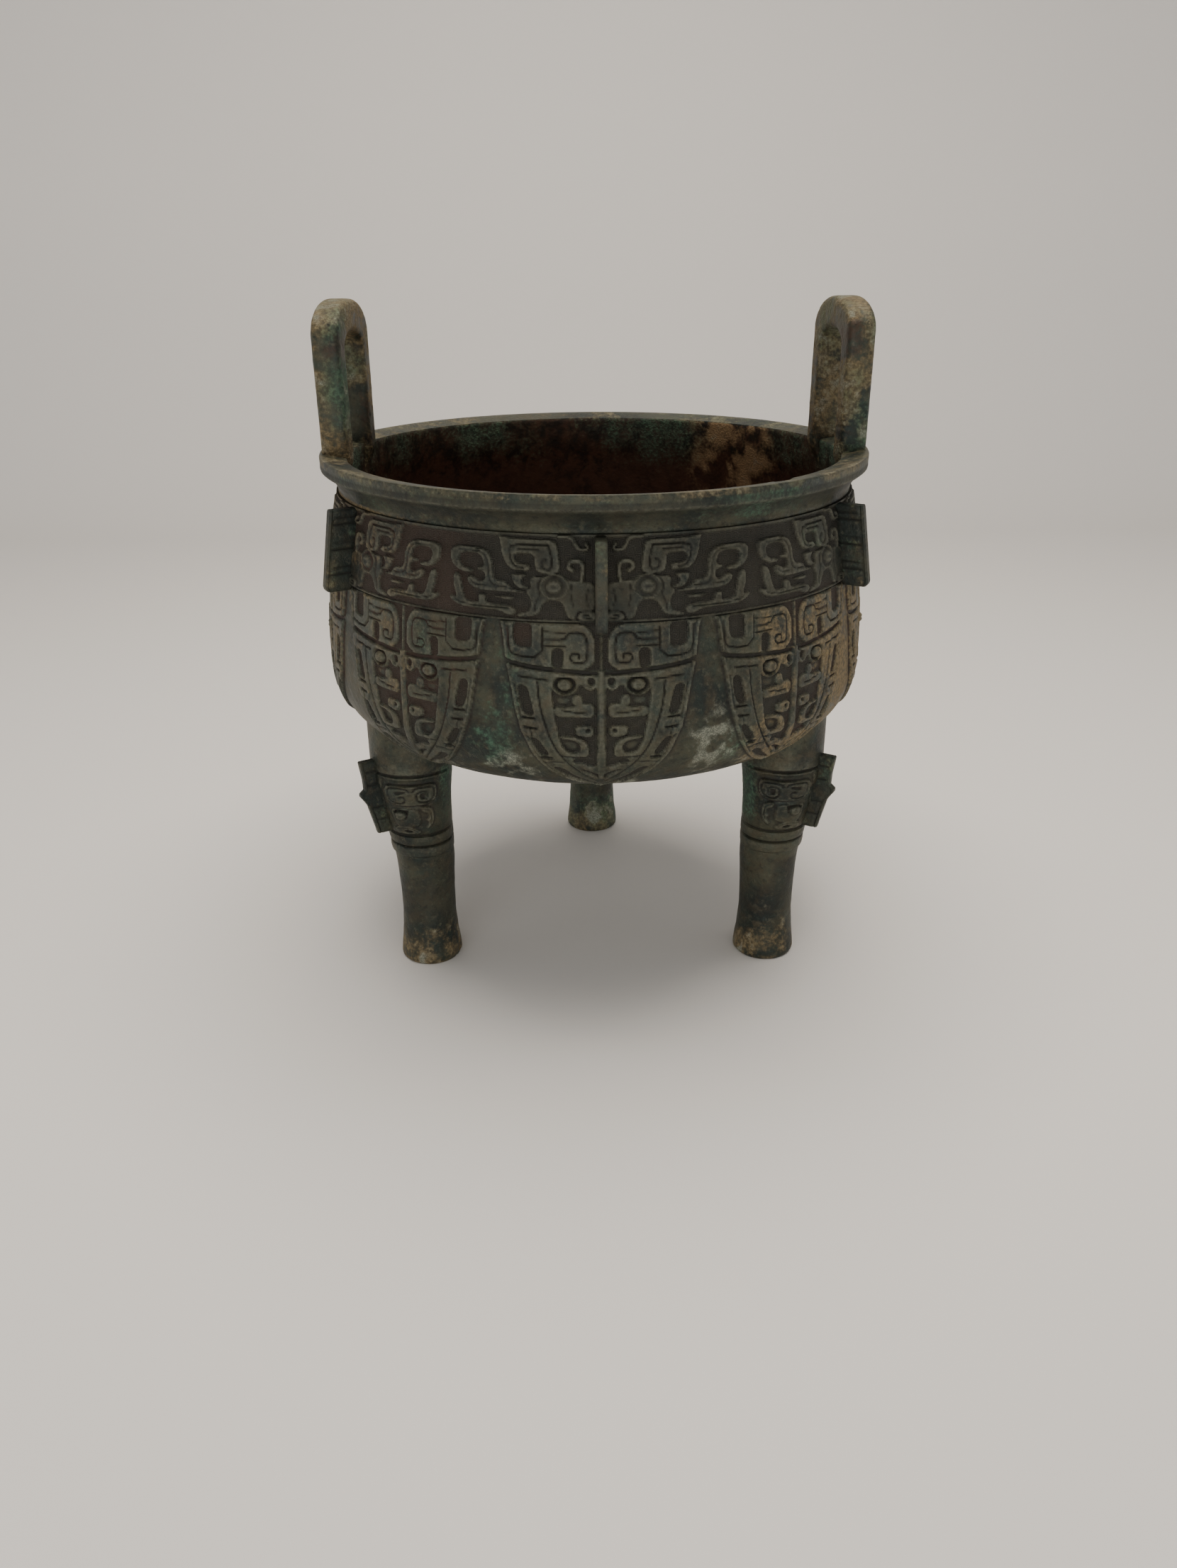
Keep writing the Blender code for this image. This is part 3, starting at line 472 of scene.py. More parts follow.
# Meshes
def ring_quads(rows, columns, start=0, wrap=True):
    """Quads of a grid of vertices, rows by columns, that closes on itself across if asked."""
    i, j = np.meshgrid(np.arange(rows - 1), np.arange(columns if wrap else columns - 1), indexing="ij")
    n = (j + 1) % columns
    corners = [i * columns + j, (i + 1) * columns + j, (i + 1) * columns + n, i * columns + n]
    return np.stack(corners, -1).reshape(-1, 4) + start


def strip_quads(first, second, wrap):
    """Quads between two equally long lists of vertex numbers."""
    first, second = np.asarray(first), np.asarray(second)
    if wrap:
        first, second = np.append(first, first[0]), np.append(second, second[0])
    return np.stack([first[:-1], first[1:], second[1:], second[:-1]], -1)


def end_fans(rows, columns):
    """Triangles from a grid's first and last row to the two single vertices that follow it."""
    faces = []
    for c in range(columns):
        n = (c + 1) % columns
        faces.append([rows * columns, c, n])
        faces.append([rows * columns + 1, (rows - 1) * columns + n, (rows - 1) * columns + c])
    return faces


MASK_NAMES = ("recess", "wear", "verdigris", "ash_and_underside_light", "ochre", "rust", "inside", "leiwen")


def make_piece(name, points, faces, masks, material, sharp=48):
    """A closed piece from points in mm, with its masks as vertex attributes.

    Faces that meet at more than sharp degrees keep a sharp edge. Masks not given are 0.
    """
    mesh = bpy.data.meshes.new(name)
    mesh.from_pydata((np.asarray(points) * MM).tolist(), [], [list(map(int, f)) for f in faces])
    bm = bmesh.new()
    bm.from_mesh(mesh)
    bmesh.ops.recalc_face_normals(bm, faces=bm.faces)
    bm.to_mesh(mesh)
    bm.free()
    for key in MASK_NAMES:
        values = np.broadcast_to(np.asarray(masks.get(key, 0.0), float), (len(points),))
        layer = mesh.attributes.new(key, "FLOAT", "POINT")
        layer.data.foreach_set("value", values.astype(np.float32))
    panel = mesh.attributes.new("panel", "FLOAT_VECTOR", "POINT")
    place = np.asarray(masks.get("panel", np.asarray(points)), np.float32)
    panel.data.foreach_set("vector", place.ravel())
    mesh.shade_smooth()
    mesh.set_sharp_from_angle(angle=math.radians(sharp))
    obj = bpy.data.objects.new(name, mesh)
    bpy.context.scene.collection.objects.link(obj)
    mesh.materials.append(material)
    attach(obj, "root")
    return obj


def blurred(field, steps, wrap):
    """Mean over neighbours, to tell hollows from tops."""
    out = field.copy()
    for _ in range(steps):
        if wrap:
            out = (out + np.roll(out, 1, 1) + np.roll(out, -1, 1)) / 3
        else:
            side = np.pad(out, ((0, 0), (1, 1)), mode="edge")
            out = (side[:, :-2] + out + side[:, 2:]) / 3
        tall = np.pad(out, ((1, 1), (0, 0)), mode="edge")
        out = (tall[:-2] + out + tall[2:]) / 3
    return out


def relief_masks(height, ground, wrap):
    """How deep a place lies, and how much painted highlight, partly real wear, its raised edges get, from the
    height field.
    """
    local = height - blurred(height, 5, wrap)
    recess = np.maximum(unit(0.33 - local / 1.05), ground * 0.85)
    return recess, unit(local / 0.55)


def relief_sheet(name, panel, first, count, half_turn, ring, sink, least_shade_and_patina, material):
    """A carved skin over part of the wall, closed by a coarse back inside the wall.

    The panel and its mirror image are repeated count times from the azimuth first, each over half_turn
    degrees. A ring closes on itself. The lower edge sinks in by sink mm, and the next number is the least
    darkening over the whole sheet: painted shade, with dark patina.
    """
    def repeated(field):
        """A field of the half panel over the whole sheet."""
        whole = np.tile(np.concatenate([field[:, ::-1][:, :-1], field[:, :-1]], 1), (1, count))
        return whole if ring else np.concatenate([whole, whole[:, :1]], 1)

    height, ground = repeated(panel.h), repeated(panel.ground)
    rows, columns = height.shape
    degrees = first + np.arange(columns) * half_turn / (panel.h.shape[1] - 1)
    azimuth = np.broadcast_to(degrees * DEG, height.shape)
    s = np.broadcast_to(panel.s[:, None], height.shape)
    base = wall_points(azimuth, s, 0)
    front = wall_points(azimuth, s, height + rough(base) - sink * smooth(s, *BLADES_FADE))
    recess, wear = relief_masks(height, ground, ring)
    masks = wall_patina(base, np.degrees(azimuth), s + TRACED_FROM, recess)
    # The whole sheet darkens at least by the given share: painted shade, with dark patina
    masks.update(recess=np.maximum(recess, least_shade_and_patina), wear=wear, leiwen=ground)
    masks["panel"] = np.stack([azimuth * RIM_R, s, np.zeros_like(s)], -1)

    back_s = np.linspace(panel.s[0], panel.s[-1], BACK_ROWS)
    grid_a, grid_s = np.meshgrid(degrees * DEG, back_s)
    back = wall_points(grid_a, grid_s, -BACK_DEPTH)
    points = np.concatenate([front.reshape(-1, 3), back.reshape(-1, 3)])
    start = rows * columns
    last = start + (BACK_ROWS - 1) * columns
    line = np.arange(columns)
    faces = list(ring_quads(rows, columns, 0, ring))
    faces += list(ring_quads(BACK_ROWS, columns, start, ring)[:, ::-1])
    faces += list(strip_quads(line, start + line, ring))
    faces += list(strip_quads(last + line, (rows - 1) * columns + line, ring))
    if not ring:
        for column in (0, columns - 1):
            down = [r * columns + column for r in range(rows)]
            up = [start + r * columns + column for r in reversed(range(BACK_ROWS))]
            faces.append(down + up)
    for key, value in masks.items():
        own = value.reshape(start, *value.shape[2:])
        masks[key] = np.concatenate([own, np.zeros((len(points) - start, *value.shape[2:]))])
    return make_piece(name, points, faces, masks, material)


def shell_outline():
    """The bowl's section in mm, from the inner bottom over the rim and down the outside to its bottom."""
    s_in = np.linspace(LINE_S[-1], 6, 46)
    r, z, nr, nz = wall_at(s_in)
    inner = np.stack([np.maximum(r - nr * WALL, 0), z - nz * WALL], 1)
    inner[0] = (0, BOTTOM_Z + WALL)
    mouth = [(136.2, NECK_Z), (135.8, 280), (135.5, 285.5), (135.5, 287.3), (135.9, 288.1)]
    top = [(138.5, 288.6), (142, 289.2), (146, 289.9), (148.9, 290.4), (149.7, 290.2), (150.0, 289.6)]
    lip = [(150.0, 288), (149.9, 286), (150.0, 284.2), (149.8, 283.3), (149.0, 282.6), (147.6, 281.6),
           (146, 280.5), (144.6, 279.2), (143.3, 277.6), (142.2, 275.6), (141.5, 274)]
    above, below = [0.2, 0.9, 1.5, 1.8, 3], [134.6, 135.6, 136.4, 137.0, 138.2]
    s_out = np.concatenate([above, np.linspace(8, 132, 14), below, np.linspace(141, LINE_S[-1], 42)])
    r, z, nr, nz = wall_at(s_out)
    sunk = -SHELL_SINK * smooth(s_out, 0.8, 1.8) * (1 - smooth(s_out, 135.2, 136.8))
    outer = np.stack([np.maximum(r + nr * sunk, 0), z + nz * sunk], 1)
    outer[-1] = (0, BOTTOM_Z)
    return inner, np.array(mouth + top + lip), outer


# The chip in the rim: azimuth in degrees, and depth down and outwards in mm
CHIP_AZIMUTH = 40.2
CHIP_DEPTH = 2.1
CHIP_BACK = 1.2


def chip(points):
    """How much of the chip in the rim's inner edge lies at each point, from 0 to 1."""
    azimuth = np.degrees(np.arctan2(points[..., 0], -points[..., 1]))
    radius = np.hypot(points[..., 0], points[..., 1])
    jag = 1.2 * cloud(points, 3.0, 2)
    along = 1 - smooth(np.abs(azimuth - CHIP_AZIMUTH + jag), 1.6, 2.9)
    across = 1 - smooth(radius, 137.6 + jag, 140.2 + jag)
    return along * across * smooth(points[..., 2], 284, 286)


def bowl_patina(base, degrees, r, z, inside, broken):
    """Masks of the bowl's plain surfaces; inside is 1 in the bowl and broken is 1 in the chip."""
    degrees = (degrees + 180) % 360 - 180
    within = inside > 0.5
    s = np.interp(-z, -LINE_Z, LINE_S) + TRACED_FROM
    masks = wall_patina(base, degrees, s, 0 * z)
    broad = cloud(base, 46, 4)
    middle, fine = blotches(base)

    def paint(key, where, value):
        """Sets a mask in a region."""
        masks[key] = np.where(where, unit(value), masks[key])

    rim = z > 273
    top_face = smooth(z, 287.0, 288.2)
    lip_face = smooth(z, 273, 277) * (1 - top_face) * ~within
    teal = 0.5 * between(degrees, 12, 24, 34, 50) * lip_face
    paint("verdigris", rim, (0.36 + teal + 0.05 * top_face) * (0.8 + 1.6 * broad + 1.3 * middle))
    paint("ash_and_underside_light", rim, (0.14 * lip_face + 0.42 * top_face) * (0.6 + 2 * middle + 1.6 * fine))
    paint("ochre", rim, 0.62 * top_face * (0.55 + 2.4 * middle + fine))
    # Painted light: the underside turns pale grey, standing for light from the bright floor below
    underside = (1 - smooth(z, 128, 146)) * (1 - inside)
    masks["ash_and_underside_light"] = np.maximum(masks["ash_and_underside_light"], unit(underside * (0.55 + 1.5 * middle + 1.4 * fine)))

    near_rim = smooth(z, 240, 284)
    tan = between(degrees, 118, 132, 140, 157) * smooth(z, 205, 235)
    paint("ochre", within, tan * (0.62 + 2.6 * middle + 2.0 * fine) + 0.35 * near_rim * (0.4 + 2 * middle))
    paint("verdigris", within, near_rim * (1 - 0.8 * tan) * (0.55 + 1.6 * broad + middle))
    paint("ash_and_underside_light", within, tan * (0.12 + 0.8 * middle + 1.6 * fine))
    masks["rust"] = unit(1 - 0.7 * near_rim + broad) * within
    masks["ash_and_underside_light"] = np.maximum(masks["ash_and_underside_light"], broken)

    covered = (s > 5.4) & (s < 139) & (z < 272) & ~within
    # Painted highlights: a pale line along the lip's lower edge and one along the rim's outer top edge
    lip_edge_highlight = np.exp(-((z - 283.2) / 0.8) ** 2) * (r > 148.5)
    rim_edge_highlight = np.exp(-((r - 149.0) / 0.9) ** 2) * (z > 288)
    # Painted shade: the lip's face and the neck under the rim are darkened, and the wall hidden under the
    # carved sheets is painted nearly black as shade
    masks["recess"] = np.maximum(0.9 * covered, 0.57 * lip_face)
    masks["wear"] = 0.9 * np.maximum(lip_edge_highlight, rim_edge_highlight) * ~within
    masks["inside"] = inside
    return masks


def bowl(material):
    """The plain surfaces: inside, rim, lip, neck, underside and the wall under the relief."""
    inner, rim, outer = shell_outline()
    line = np.concatenate([inner, rim, outer])
    azimuth = np.arange(BOWL_COLUMNS) * 2 * math.pi / BOWL_COLUMNS
    r, a = np.meshgrid(line[1:-1, 0], azimuth, indexing="ij")
    z = np.broadcast_to(line[1:-1, 1][:, None], r.shape)
    base = np.stack([r * np.sin(a), -r * np.cos(a), z], -1)
    way = line[2:] - line[:-2]
    size = np.maximum(np.hypot(way[:, 0], way[:, 1]), 1e-6)
    nr, nz = (way[:, 1] / size)[:, None], (-way[:, 0] / size)[:, None]
    outward = np.stack([nr * np.sin(a), -nr * np.cos(a), nz + 0 * a], -1)

    on_rim = np.zeros((len(line), 1))
    on_rim[len(inner) - 1:len(inner) + len(rim) - 4] = 1
    on_rim = on_rim[1:-1]
    lift = rough(base) * (1 - 0.62 * on_rim)
    lift -= np.maximum(0, lift) * on_rim * (z > 281)
    moved = base + lift[..., None] * outward
    broken = chip(moved)
    moved[..., 2] -= CHIP_DEPTH * broken
    moved += np.stack([np.sin(a), -np.cos(a), 0 * a], -1) * (CHIP_BACK * broken)[..., None]
    rows = len(line) - 2
    points = np.concatenate([moved.reshape(-1, 3), [[0, 0, line[0, 1]], [0, 0, line[-1, 1]]]])
    faces = list(ring_quads(rows, BOWL_COLUMNS)) + end_fans(rows, BOWL_COLUMNS)

    inside = np.zeros((len(line), 1))
    inside[:len(inner)] = 1
    inside[len(inner):len(inner) + 4] = 0.8
    inside = np.broadcast_to(inside[1:-1], r.shape)
    masks = bowl_patina(base, np.degrees(a), r, z, inside, broken)
    masks = {key: np.concatenate([v.ravel(), v[0, :1], v[-1, :1]]) for key, v in masks.items()}
    return make_piece("ding_bowl", points, faces, masks, material)


# Legs, by height in mm: radius at the front, distance of the crest's edge from the vessel's axis, and
# radius of the plain inner side
LEG_Z = [0, 1.0, 2.5, 7, 14.5, 29, 44, 58, 70.5, 72.0, 72.4, 73.1, 75.8, 78.5, 79.1, 79.5, 79.9, 80.5,
         83.2, 85.9, 86.5, 86.9, 87.6, 92, 107, 120, 133, 170]
LEG_R = [16.9, 17.7, 18.0, 17.6, 16.6, 15.6, 15.7, 16.4, 17.1, 17.1, 17.5, 18.4, 18.7, 18.5, 17.7, 17.0,
         17.7, 18.6, 18.9, 18.7, 17.9, 17.3, 18.0, 19.0, 20.8, 22.6, 23.0, 23.0]
CREST_Z = [87.0, 90, 105, 109, 111.2, 113, 115, 121, 132.4]
CREST_R = [145.0, 145.6, 149.4, 151.8, 153.4, 153.3, 150.8, 151.0, 152.7]
BARE_Z = [0, 2.5, 14.5, 29, 44, 58, 70.5, 92, 107, 120, 133]
BARE_R = [17.4, 18.0, 16.6, 15.6, 15.7, 16.4, 17.0, 19.0, 20.8, 22.6, 23.0]

# In mm: what turns an angle round a leg into its drawing, heights where the mask starts and ends and of
# the last level ring, radius of the hidden rings, how far the axis leans out, and a height past that
LEG_ARC = 21.0
LEG_MASK_LOW, LEG_MASK_HIGH = 87.8, 131.0
LEG_HIGH = 127.0
LEG_NECK_R = 22.9
LEG_SWELL = 4.9
LEG_TOP = 150.0

# Vertices round a leg
LEG_COLUMNS = 176


def leg_swell(z):
    """How far the leg's axis moves outwards towards its top."""
    return LEG_SWELL * smooth(z, 60, 121)


def leg_panel():
    """Half of a leg's mask, from its crest round to the plain inner side."""
    p = Panel(np.linspace(0, 66, 111), np.linspace(84, 132, 121), 1.0, 0.0, 0.0)
    p.groove([(2, 125.6), (20, 126.0), (38, 125.6), (46, 124.8)], 1.8, 1.2)
    p.pit([(8.2, 123.6), (36.5, 123.6), (40.0, 117), (37.6, 109.0), (31, 106.6), (15, 106.6), (8.6, 109.4),
           (6.8, 117)], -0.4, 2, 0)
    p.plate([(9.8, 121.0), (36.4, 121.0), (38.0, 115), (36.0, 109.6), (31, 108.0), (15, 108.0),
             (10.2, 109.8), (8.4, 115)], 1.5)
    near = [(22.4, 117.2), (21.0, 119.0), (15.4, 119.8), (11.2, 118.8), (10.6, 114.0), (11.4, 110.6),
            (15.8, 109.4), (19.4, 110.0), (20.2, 112.6), (18.6, 114.2), (16.8, 113.2)]
    p.groove(near, 1.15, 1.0, 1)
    far = [(24.4, 117.2), (25.6, 119.0), (31.0, 119.8), (35.4, 118.8), (36.2, 114.0), (34.8, 110.8),
           (30.4, 109.6), (26.6, 110.4), (26.0, 114.2), (27.2, 116.6), (31.6, 116.8), (32.6, 113.4),
           (31.2, 111.6)]
    p.groove(far, 1.15, 1.0, 1)
    p.pit([(27.6, 112.2), (31.2, 112.0), (31.4, 115.6), (28.0, 115.8)], -0.2, 2, 0)
    p.pit([(14.6, 114.8), (20.6, 116.4), (20.8, 117.6), (14.4, 117.0)], 0.3, 1, 0)
    p.groove([(7.6, 123.6), (5.6, 117), (5.0, 109), (3.2, 103)], 1.5, 0.9)
    p.groove([(4.4, 119), (3.2, 110), (2.2, 106)], 1.0, 0.6)
    p.plate([(9.6, 105.4), (25.0, 105.6), (26.6, 103), (26.6, 94.6), (22.0, 93.6), (12.4, 93.0),
             (9.4, 96.8)], 1.0)
    p.pit([(11.4, 104.6), (21.0, 105.0), (20.0, 103.4), (18.8, 99.6), (15.2, 97.8),
           (11.8, 99.8)], -0.5, 2, 0)
    p.eye((15.2, 101.2), 3.5, 3.1, 2.9, 0.5)
    curl = [(27.4, 107.0), (33.2, 106.4), (35.0, 101.4), (33.8, 94.8), (30.0, 91.4), (28.8, 92.6),
            (31.4, 96.2), (29.4, 97.6), (31.8, 99.6), (31.4, 102.4), (28.4, 103.2)]
    p.plate(curl, 1.5, 1)
    p.groove([(29.4, 105.4), (32.2, 104.6), (33.4, 100.4), (32.2, 95.4)], 0.8, 0.6)
    p.plate([(9.0, 92.8), (14.0, 94.4), (21.4, 93.6), (26.0, 90.4), (24.4, 88.6), (9.0, 88.6)], 1.4)
    p.pit([(14.6, 91.4), (19.4, 91.6), (21.4, 90.2), (16.4, 89.8)], -0.3, 2, 0)
    p.groove([(10.6, 92.0), (15.2, 93.0), (20.8, 92.2), (23.6, 90.4)], 0.8, 0.55)
    return p


def wall_middle():
    """Heights of the middle of the wall by radius, where a leg's hidden top ends."""
    s = np.linspace(96, LINE_S[-1] - 2, 200)
    r, z, nr, nz = wall_at(s)
    return (r - nr * WALL / 2)[::-1], (z - nz * WALL / 2)[::-1]


def panel_values(panel, field, across, down):
    """A panel's field at any points, between its grid points."""
    short = 1.001
    x = np.clip((across - panel.u[0]) / (panel.u[1] - panel.u[0]), 0, len(panel.u) - short)
    y = np.clip((down - panel.s[0]) / (panel.s[1] - panel.s[0]), 0, len(panel.s) - short)
    i, j = y.astype(int), x.astype(int)
    ti, tj = y - i, x - j
    upper = field[i, j] * (1 - tj) + field[i, j + 1] * tj
    lower = field[i + 1, j] * (1 - tj) + field[i + 1, j + 1] * tj
    return upper * (1 - ti) + lower * ti


def leg(name, azimuth, panel, seed, material):
    """One leg with its rings and mask, closed below and inside the wall above."""
    half = LEG_COLUMNS // 2
    levels = np.concatenate([[0, 0.5, 1.2, 2.2, 3.6], np.linspace(5.5, 69.5, 40), np.linspace(70.4, 87.4, 46),
                             np.linspace(88, LEG_HIGH, 88)])
    phi = (np.arange(LEG_COLUMNS) - half) * 2 * math.pi / LEG_COLUMNS
    a, z = np.meshgrid(phi, levels)
    inward = smooth(np.abs(a), 1.9, 2.7)
    ringed, bare = np.interp(z, LEG_Z, LEG_R), np.interp(z, BARE_Z, BARE_R)
    r = ringed + (bare - ringed) * 0.8 * inward * (z > 69)
    on_mask = (z > LEG_MASK_LOW) & (z < LEG_MASK_HIGH)
    height = panel_values(panel, panel.h, np.abs(a) * LEG_ARC, z) * on_mask
    out_way = np.array([math.sin(azimuth * DEG), -math.cos(azimuth * DEG), 0])
    side_way = np.array([math.cos(azimuth * DEG), math.sin(azimuth * DEG), 0])

    def place(angle, radius, level):
        """Points round the leg's leaning axis."""
        across = out_way * np.cos(angle)[..., None] + side_way * np.sin(angle)[..., None]
        centre = (LEG_CIRCLE + leg_swell(level))[..., None] * out_way
        up = np.stack([0 * level, 0 * level, level], -1)
        return centre + across * radius[..., None] + up

    base = place(a, r, z)
    worn = 0.9 * smooth(-cloud(base + seed, 9, 3), 0.12, 0.3) * (1 - smooth(z, 3, 9))
    lift = height + 1.1 * rough(base + seed) - worn
    lift = np.where(z < 1.0, np.minimum(lift, 0), lift)
    body = place(a, r + lift, z)

    # Rings hidden in the wall: how far up towards its middle, and share of the radius
    middle_r, middle_z = wall_middle()
    hidden = []
    for rise, width in ((0.35, 1), (0.7, 1), (1, 1), (1, 0.8), (1, 0.55), (1, 0.3)):
        radius = np.full(LEG_COLUMNS, LEG_NECK_R * width)
        plan = place(phi, radius, np.full(LEG_COLUMNS, LEG_TOP))
        wall_z = np.interp(np.hypot(plan[:, 0], plan[:, 1]), middle_r, middle_z)
        hidden.append(place(phi, radius, LEG_HIGH + (wall_z - LEG_HIGH) * rise))
    grid = np.concatenate([body, np.array(hidden)])
    crown_r = LEG_CIRCLE + LEG_SWELL
    crown = out_way * crown_r + np.array([0, 0, np.interp(crown_r, middle_r, middle_z)])
    points = np.concatenate([grid.reshape(-1, 3), [out_way * LEG_CIRCLE, crown]])
    faces = list(ring_quads(len(grid), LEG_COLUMNS)) + end_fans(len(grid), LEG_COLUMNS)

    recess, wear = relief_masks(height, 0 * height, True)
    hollow = 0.95 * smooth(blurred(r, 5, True) - r, 0.10, 0.40)
    recess = np.maximum(recess * on_mask * (np.abs(a) * LEG_ARC < 42), hollow)
    slate = 0.52 * between(z, 18, 34, 66, 70) * smooth(cloud(base + seed + 20, 26, 3), -0.16, 0.06)
    recess = np.maximum(recess, slate)
    middle, fine = blotches(base, seed)
    broad = cloud(base + seed, 40, 3)
    feet = 1 - smooth(z, 6, 34)
    blotch = smooth(middle + 0.5 * fine, 0.10, 0.34) * (1 - smooth(z, 44, 66))
    at_back = float(azimuth == 180)
    bare_side = smooth(np.abs(a) * LEG_ARC, 36, 44) * smooth(z, 84, 96)
    green = 0.10 + 0.5 * at_back + (0.4 + 0.7 * at_back) * broad + middle * (0.4 + at_back)
    masks = {
        "recess": recess,
        "wear": np.maximum(wear * on_mask, 0.25 * (ringed - bare > 0.9)),
        "ash_and_underside_light": unit(0.55 * blotch + feet * (0.30 + 1.2 * fine + middle)),
        "ochre": unit(feet * (0.62 + 1.8 * middle + fine) + 0.3 * blotch),
        "verdigris": unit(green + 0.5 * bare_side * (1 + broad)),
        "rust": unit(recess * 0.3),
    }
    spare = len(points) - body.shape[0] * LEG_COLUMNS
    masks = {key: np.concatenate([value.ravel(), np.zeros(spare)]) for key, value in masks.items()}
    return make_piece(name, points, faces, masks, material)


# Fins: the band's flanges and the legs' crests
FLANGE_THICK = 5.5
CREST_THICK = 5.0


def fin(name, azimuths, levels, inner, outer, thick, carve, material, columns=16):
    """Flat fins in planes through the axis, with carved sides and softened edges.

    Levels are heights, inner and outer the distances from the axis there, and carve gives the depth of
    the carving on each side.
    """
    share = np.concatenate([np.linspace(0, 0.9, columns - 4), [0.94, 0.965, 0.985, 1.0]])
    rows, width = len(levels), len(share)
    x = inner[:, None] + (outer - inner)[:, None] * share
    z = np.broadcast_to(levels[:, None], x.shape)
    from_out = outer[:, None] - x
    from_end = np.minimum(z - levels[0], levels[-1] - z)
    cut = carve(z, from_out)
    half = thick / 2 - cut
    half = half - 0.85 * (1 - smooth(from_out, 0, 0.9)) - 0.7 * (1 - smooth(from_end, 0, 0.9))
    points, faces, depth = [], [], []
    edge = [(0, c) for c in range(width)]
    edge += [(r, width - 1) for r in range(1, rows)]
    edge += [(rows - 1, c) for c in reversed(range(width - 1))]
    edge += [(r, 0) for r in reversed(range(1, rows - 1))]
    loop = np.array([r * width + c for r, c in edge])
    for azimuth in azimuths:
        out_way = np.array([math.sin(azimuth * DEG), -math.cos(azimuth * DEG)])
        side_way = np.array([math.cos(azimuth * DEG), math.sin(azimuth * DEG)])
        start = sum(len(p) for p in points)
        for way in (1, -1):
            flat = x[..., None] * out_way + (way * half)[..., None] * side_way
            part = np.concatenate([flat, z[..., None]], -1)
            part[..., 0:2] += (0.5 * rough(part) * way)[..., None] * side_way
            points.append(part.reshape(-1, 3))
            depth.append(unit(cut / 0.7).ravel())
        faces += list(ring_quads(rows, width, start, False))
        faces += list(ring_quads(rows, width, start + rows * width, False)[:, ::-1])
        faces += list(strip_quads(start + loop, start + rows * width + loop, True))
    points = np.concatenate(points)
    return make_piece(name, points, faces, fin_looks(points, np.concatenate(depth)), material, 42)


def flange_carving(z, from_out):
    """Incised level lines and T-shaped notches on a flange's sides, and a long groove by its edge."""
    cut = 0.55 * np.exp(-((from_out - 1.9) / 0.38) ** 2)
    for level in (238.5, 251.0, 263.5):
        cut = np.maximum(cut, 0.75 * np.exp(-((z - level) / 0.55) ** 2) * smooth(from_out, 1.6, 2.2))
        cut = np.maximum(cut, 0.6 * np.exp(-((z - level - 3.4) / 0.45) ** 2) * smooth(from_out, 3.4, 4.0))
    return cut


def crest_carving(z, from_out):
    """Level lines and a groove by the edge on the sides of a leg's crest."""
    cut = 0.5 * np.exp(-((from_out - 1.8) / 0.4) ** 2)
    for level in (96.0, 104.0, 118.0, 126.0):
        cut = np.maximum(cut, 0.6 * np.exp(-((z - level) / 0.6) ** 2) * smooth(from_out, 1.6, 2.2))
    return cut


def fin_looks(points, depth):
    """Masks of a fin; depth is how deep each point lies in its carving."""
    middle = cloud(points + 50, 12, 4)
    fine = cloud(points + 90, 4, 3)
    outer = smooth(np.hypot(points[:, 0], points[:, 1]), 153.5, 158)
    return {"recess": np.maximum(depth, 0.46), "wear": 0.15 * outer,
            "ochre": np.clip(0.25 * outer + 1.2 * middle + fine, 0, 0.8),
            "verdigris": unit(0.2 + 1.4 * middle),
            "ash_and_underside_light": np.clip(1.6 * fine + middle - 0.3, 0, 0.6)}


def belly_flanges(material):
    """The six flanges of the carved band."""
    levels = np.concatenate([[229.6, 230.2, 231.0], np.linspace(232, 269.4, 72), [270.2, 271.0]])
    inner = np.interp(levels, LINE_Z[::-1], LINE_R[::-1]) - 2.2
    outer = np.interp(levels, [229.6, 230.6, 232.6, 271.0], [160.4, 161.6, 162.0, 155.9])
    azimuths = [60 * k for k in range(MASKS)]
    return fin("belly_flanges", azimuths, levels, inner, outer, FLANGE_THICK, flange_carving, material)


def leg_crests(material):
    """The crest on the outer side of each leg."""
    levels = np.linspace(87.2, 132.2, 92)
    root = LEG_CIRCLE + 12
    inner = np.maximum(root, np.interp(levels, [87.2, 88.4], [136, root]))
    outer = np.interp(levels, CREST_Z, CREST_R)
    azimuths = [60, 180, 300]
    return fin("leg_crests", azimuths, levels, inner, outer, CREST_THICK, crest_carving, material, 22)


# Ears, in mm: half width, top height and rise of the outer and the inner arch, then the thickness, the
# distance from the vessel's axis and that of the foot in the lip
EAR_HALF, EAR_CROWN, EAR_RISE = 35.8, 366.7, 17.0
LOOP_HALF, LOOP_TOP, LOOP_RISE = 20.0, 349.8, 9.4
EAR_THICK, EAR_DISTANCE, EAR_FOOT_DISTANCE = 15.6, 137.4, 135.2

# Heights of an ear's foot, of the row that is free of the lip, of the first stretched row, and of a
# side's last row before that stretch
EAR_FOOT, EAR_SUNK, EAR_STRAIGHT, EAR_SIDE_TOP = 271.5, 287.5, 300, 344

# Rows over the arch and round the section, and the power that squares the section
EAR_ROUND, EAR_AROUND = 64, 44
EAR_SQUARENESS = 0.40


def arch(half, crown, rise, power):
    """(across, height) of one edge of an ear, up one side, over the top and down the other."""
    up = np.concatenate([np.linspace(EAR_FOOT, EAR_SUNK, 12, endpoint=False),
                         np.linspace(EAR_SUNK, EAR_SIDE_TOP, 60)])
    stretch = (up - EAR_STRAIGHT) * (crown - rise - EAR_STRAIGHT) / (EAR_SIDE_TOP - EAR_STRAIGHT)
    side = [(half, z) for z in np.where(up > EAR_STRAIGHT, EAR_STRAIGHT + stretch, up)]
    over = []
    for k in range(1, EAR_ROUND):
        t = math.pi * k / EAR_ROUND
        over.append((half * math.cos(t), crown - rise + rise * math.sin(t) ** power))
    return np.array(side + over + [(-x, z) for x, z in side[::-1]])


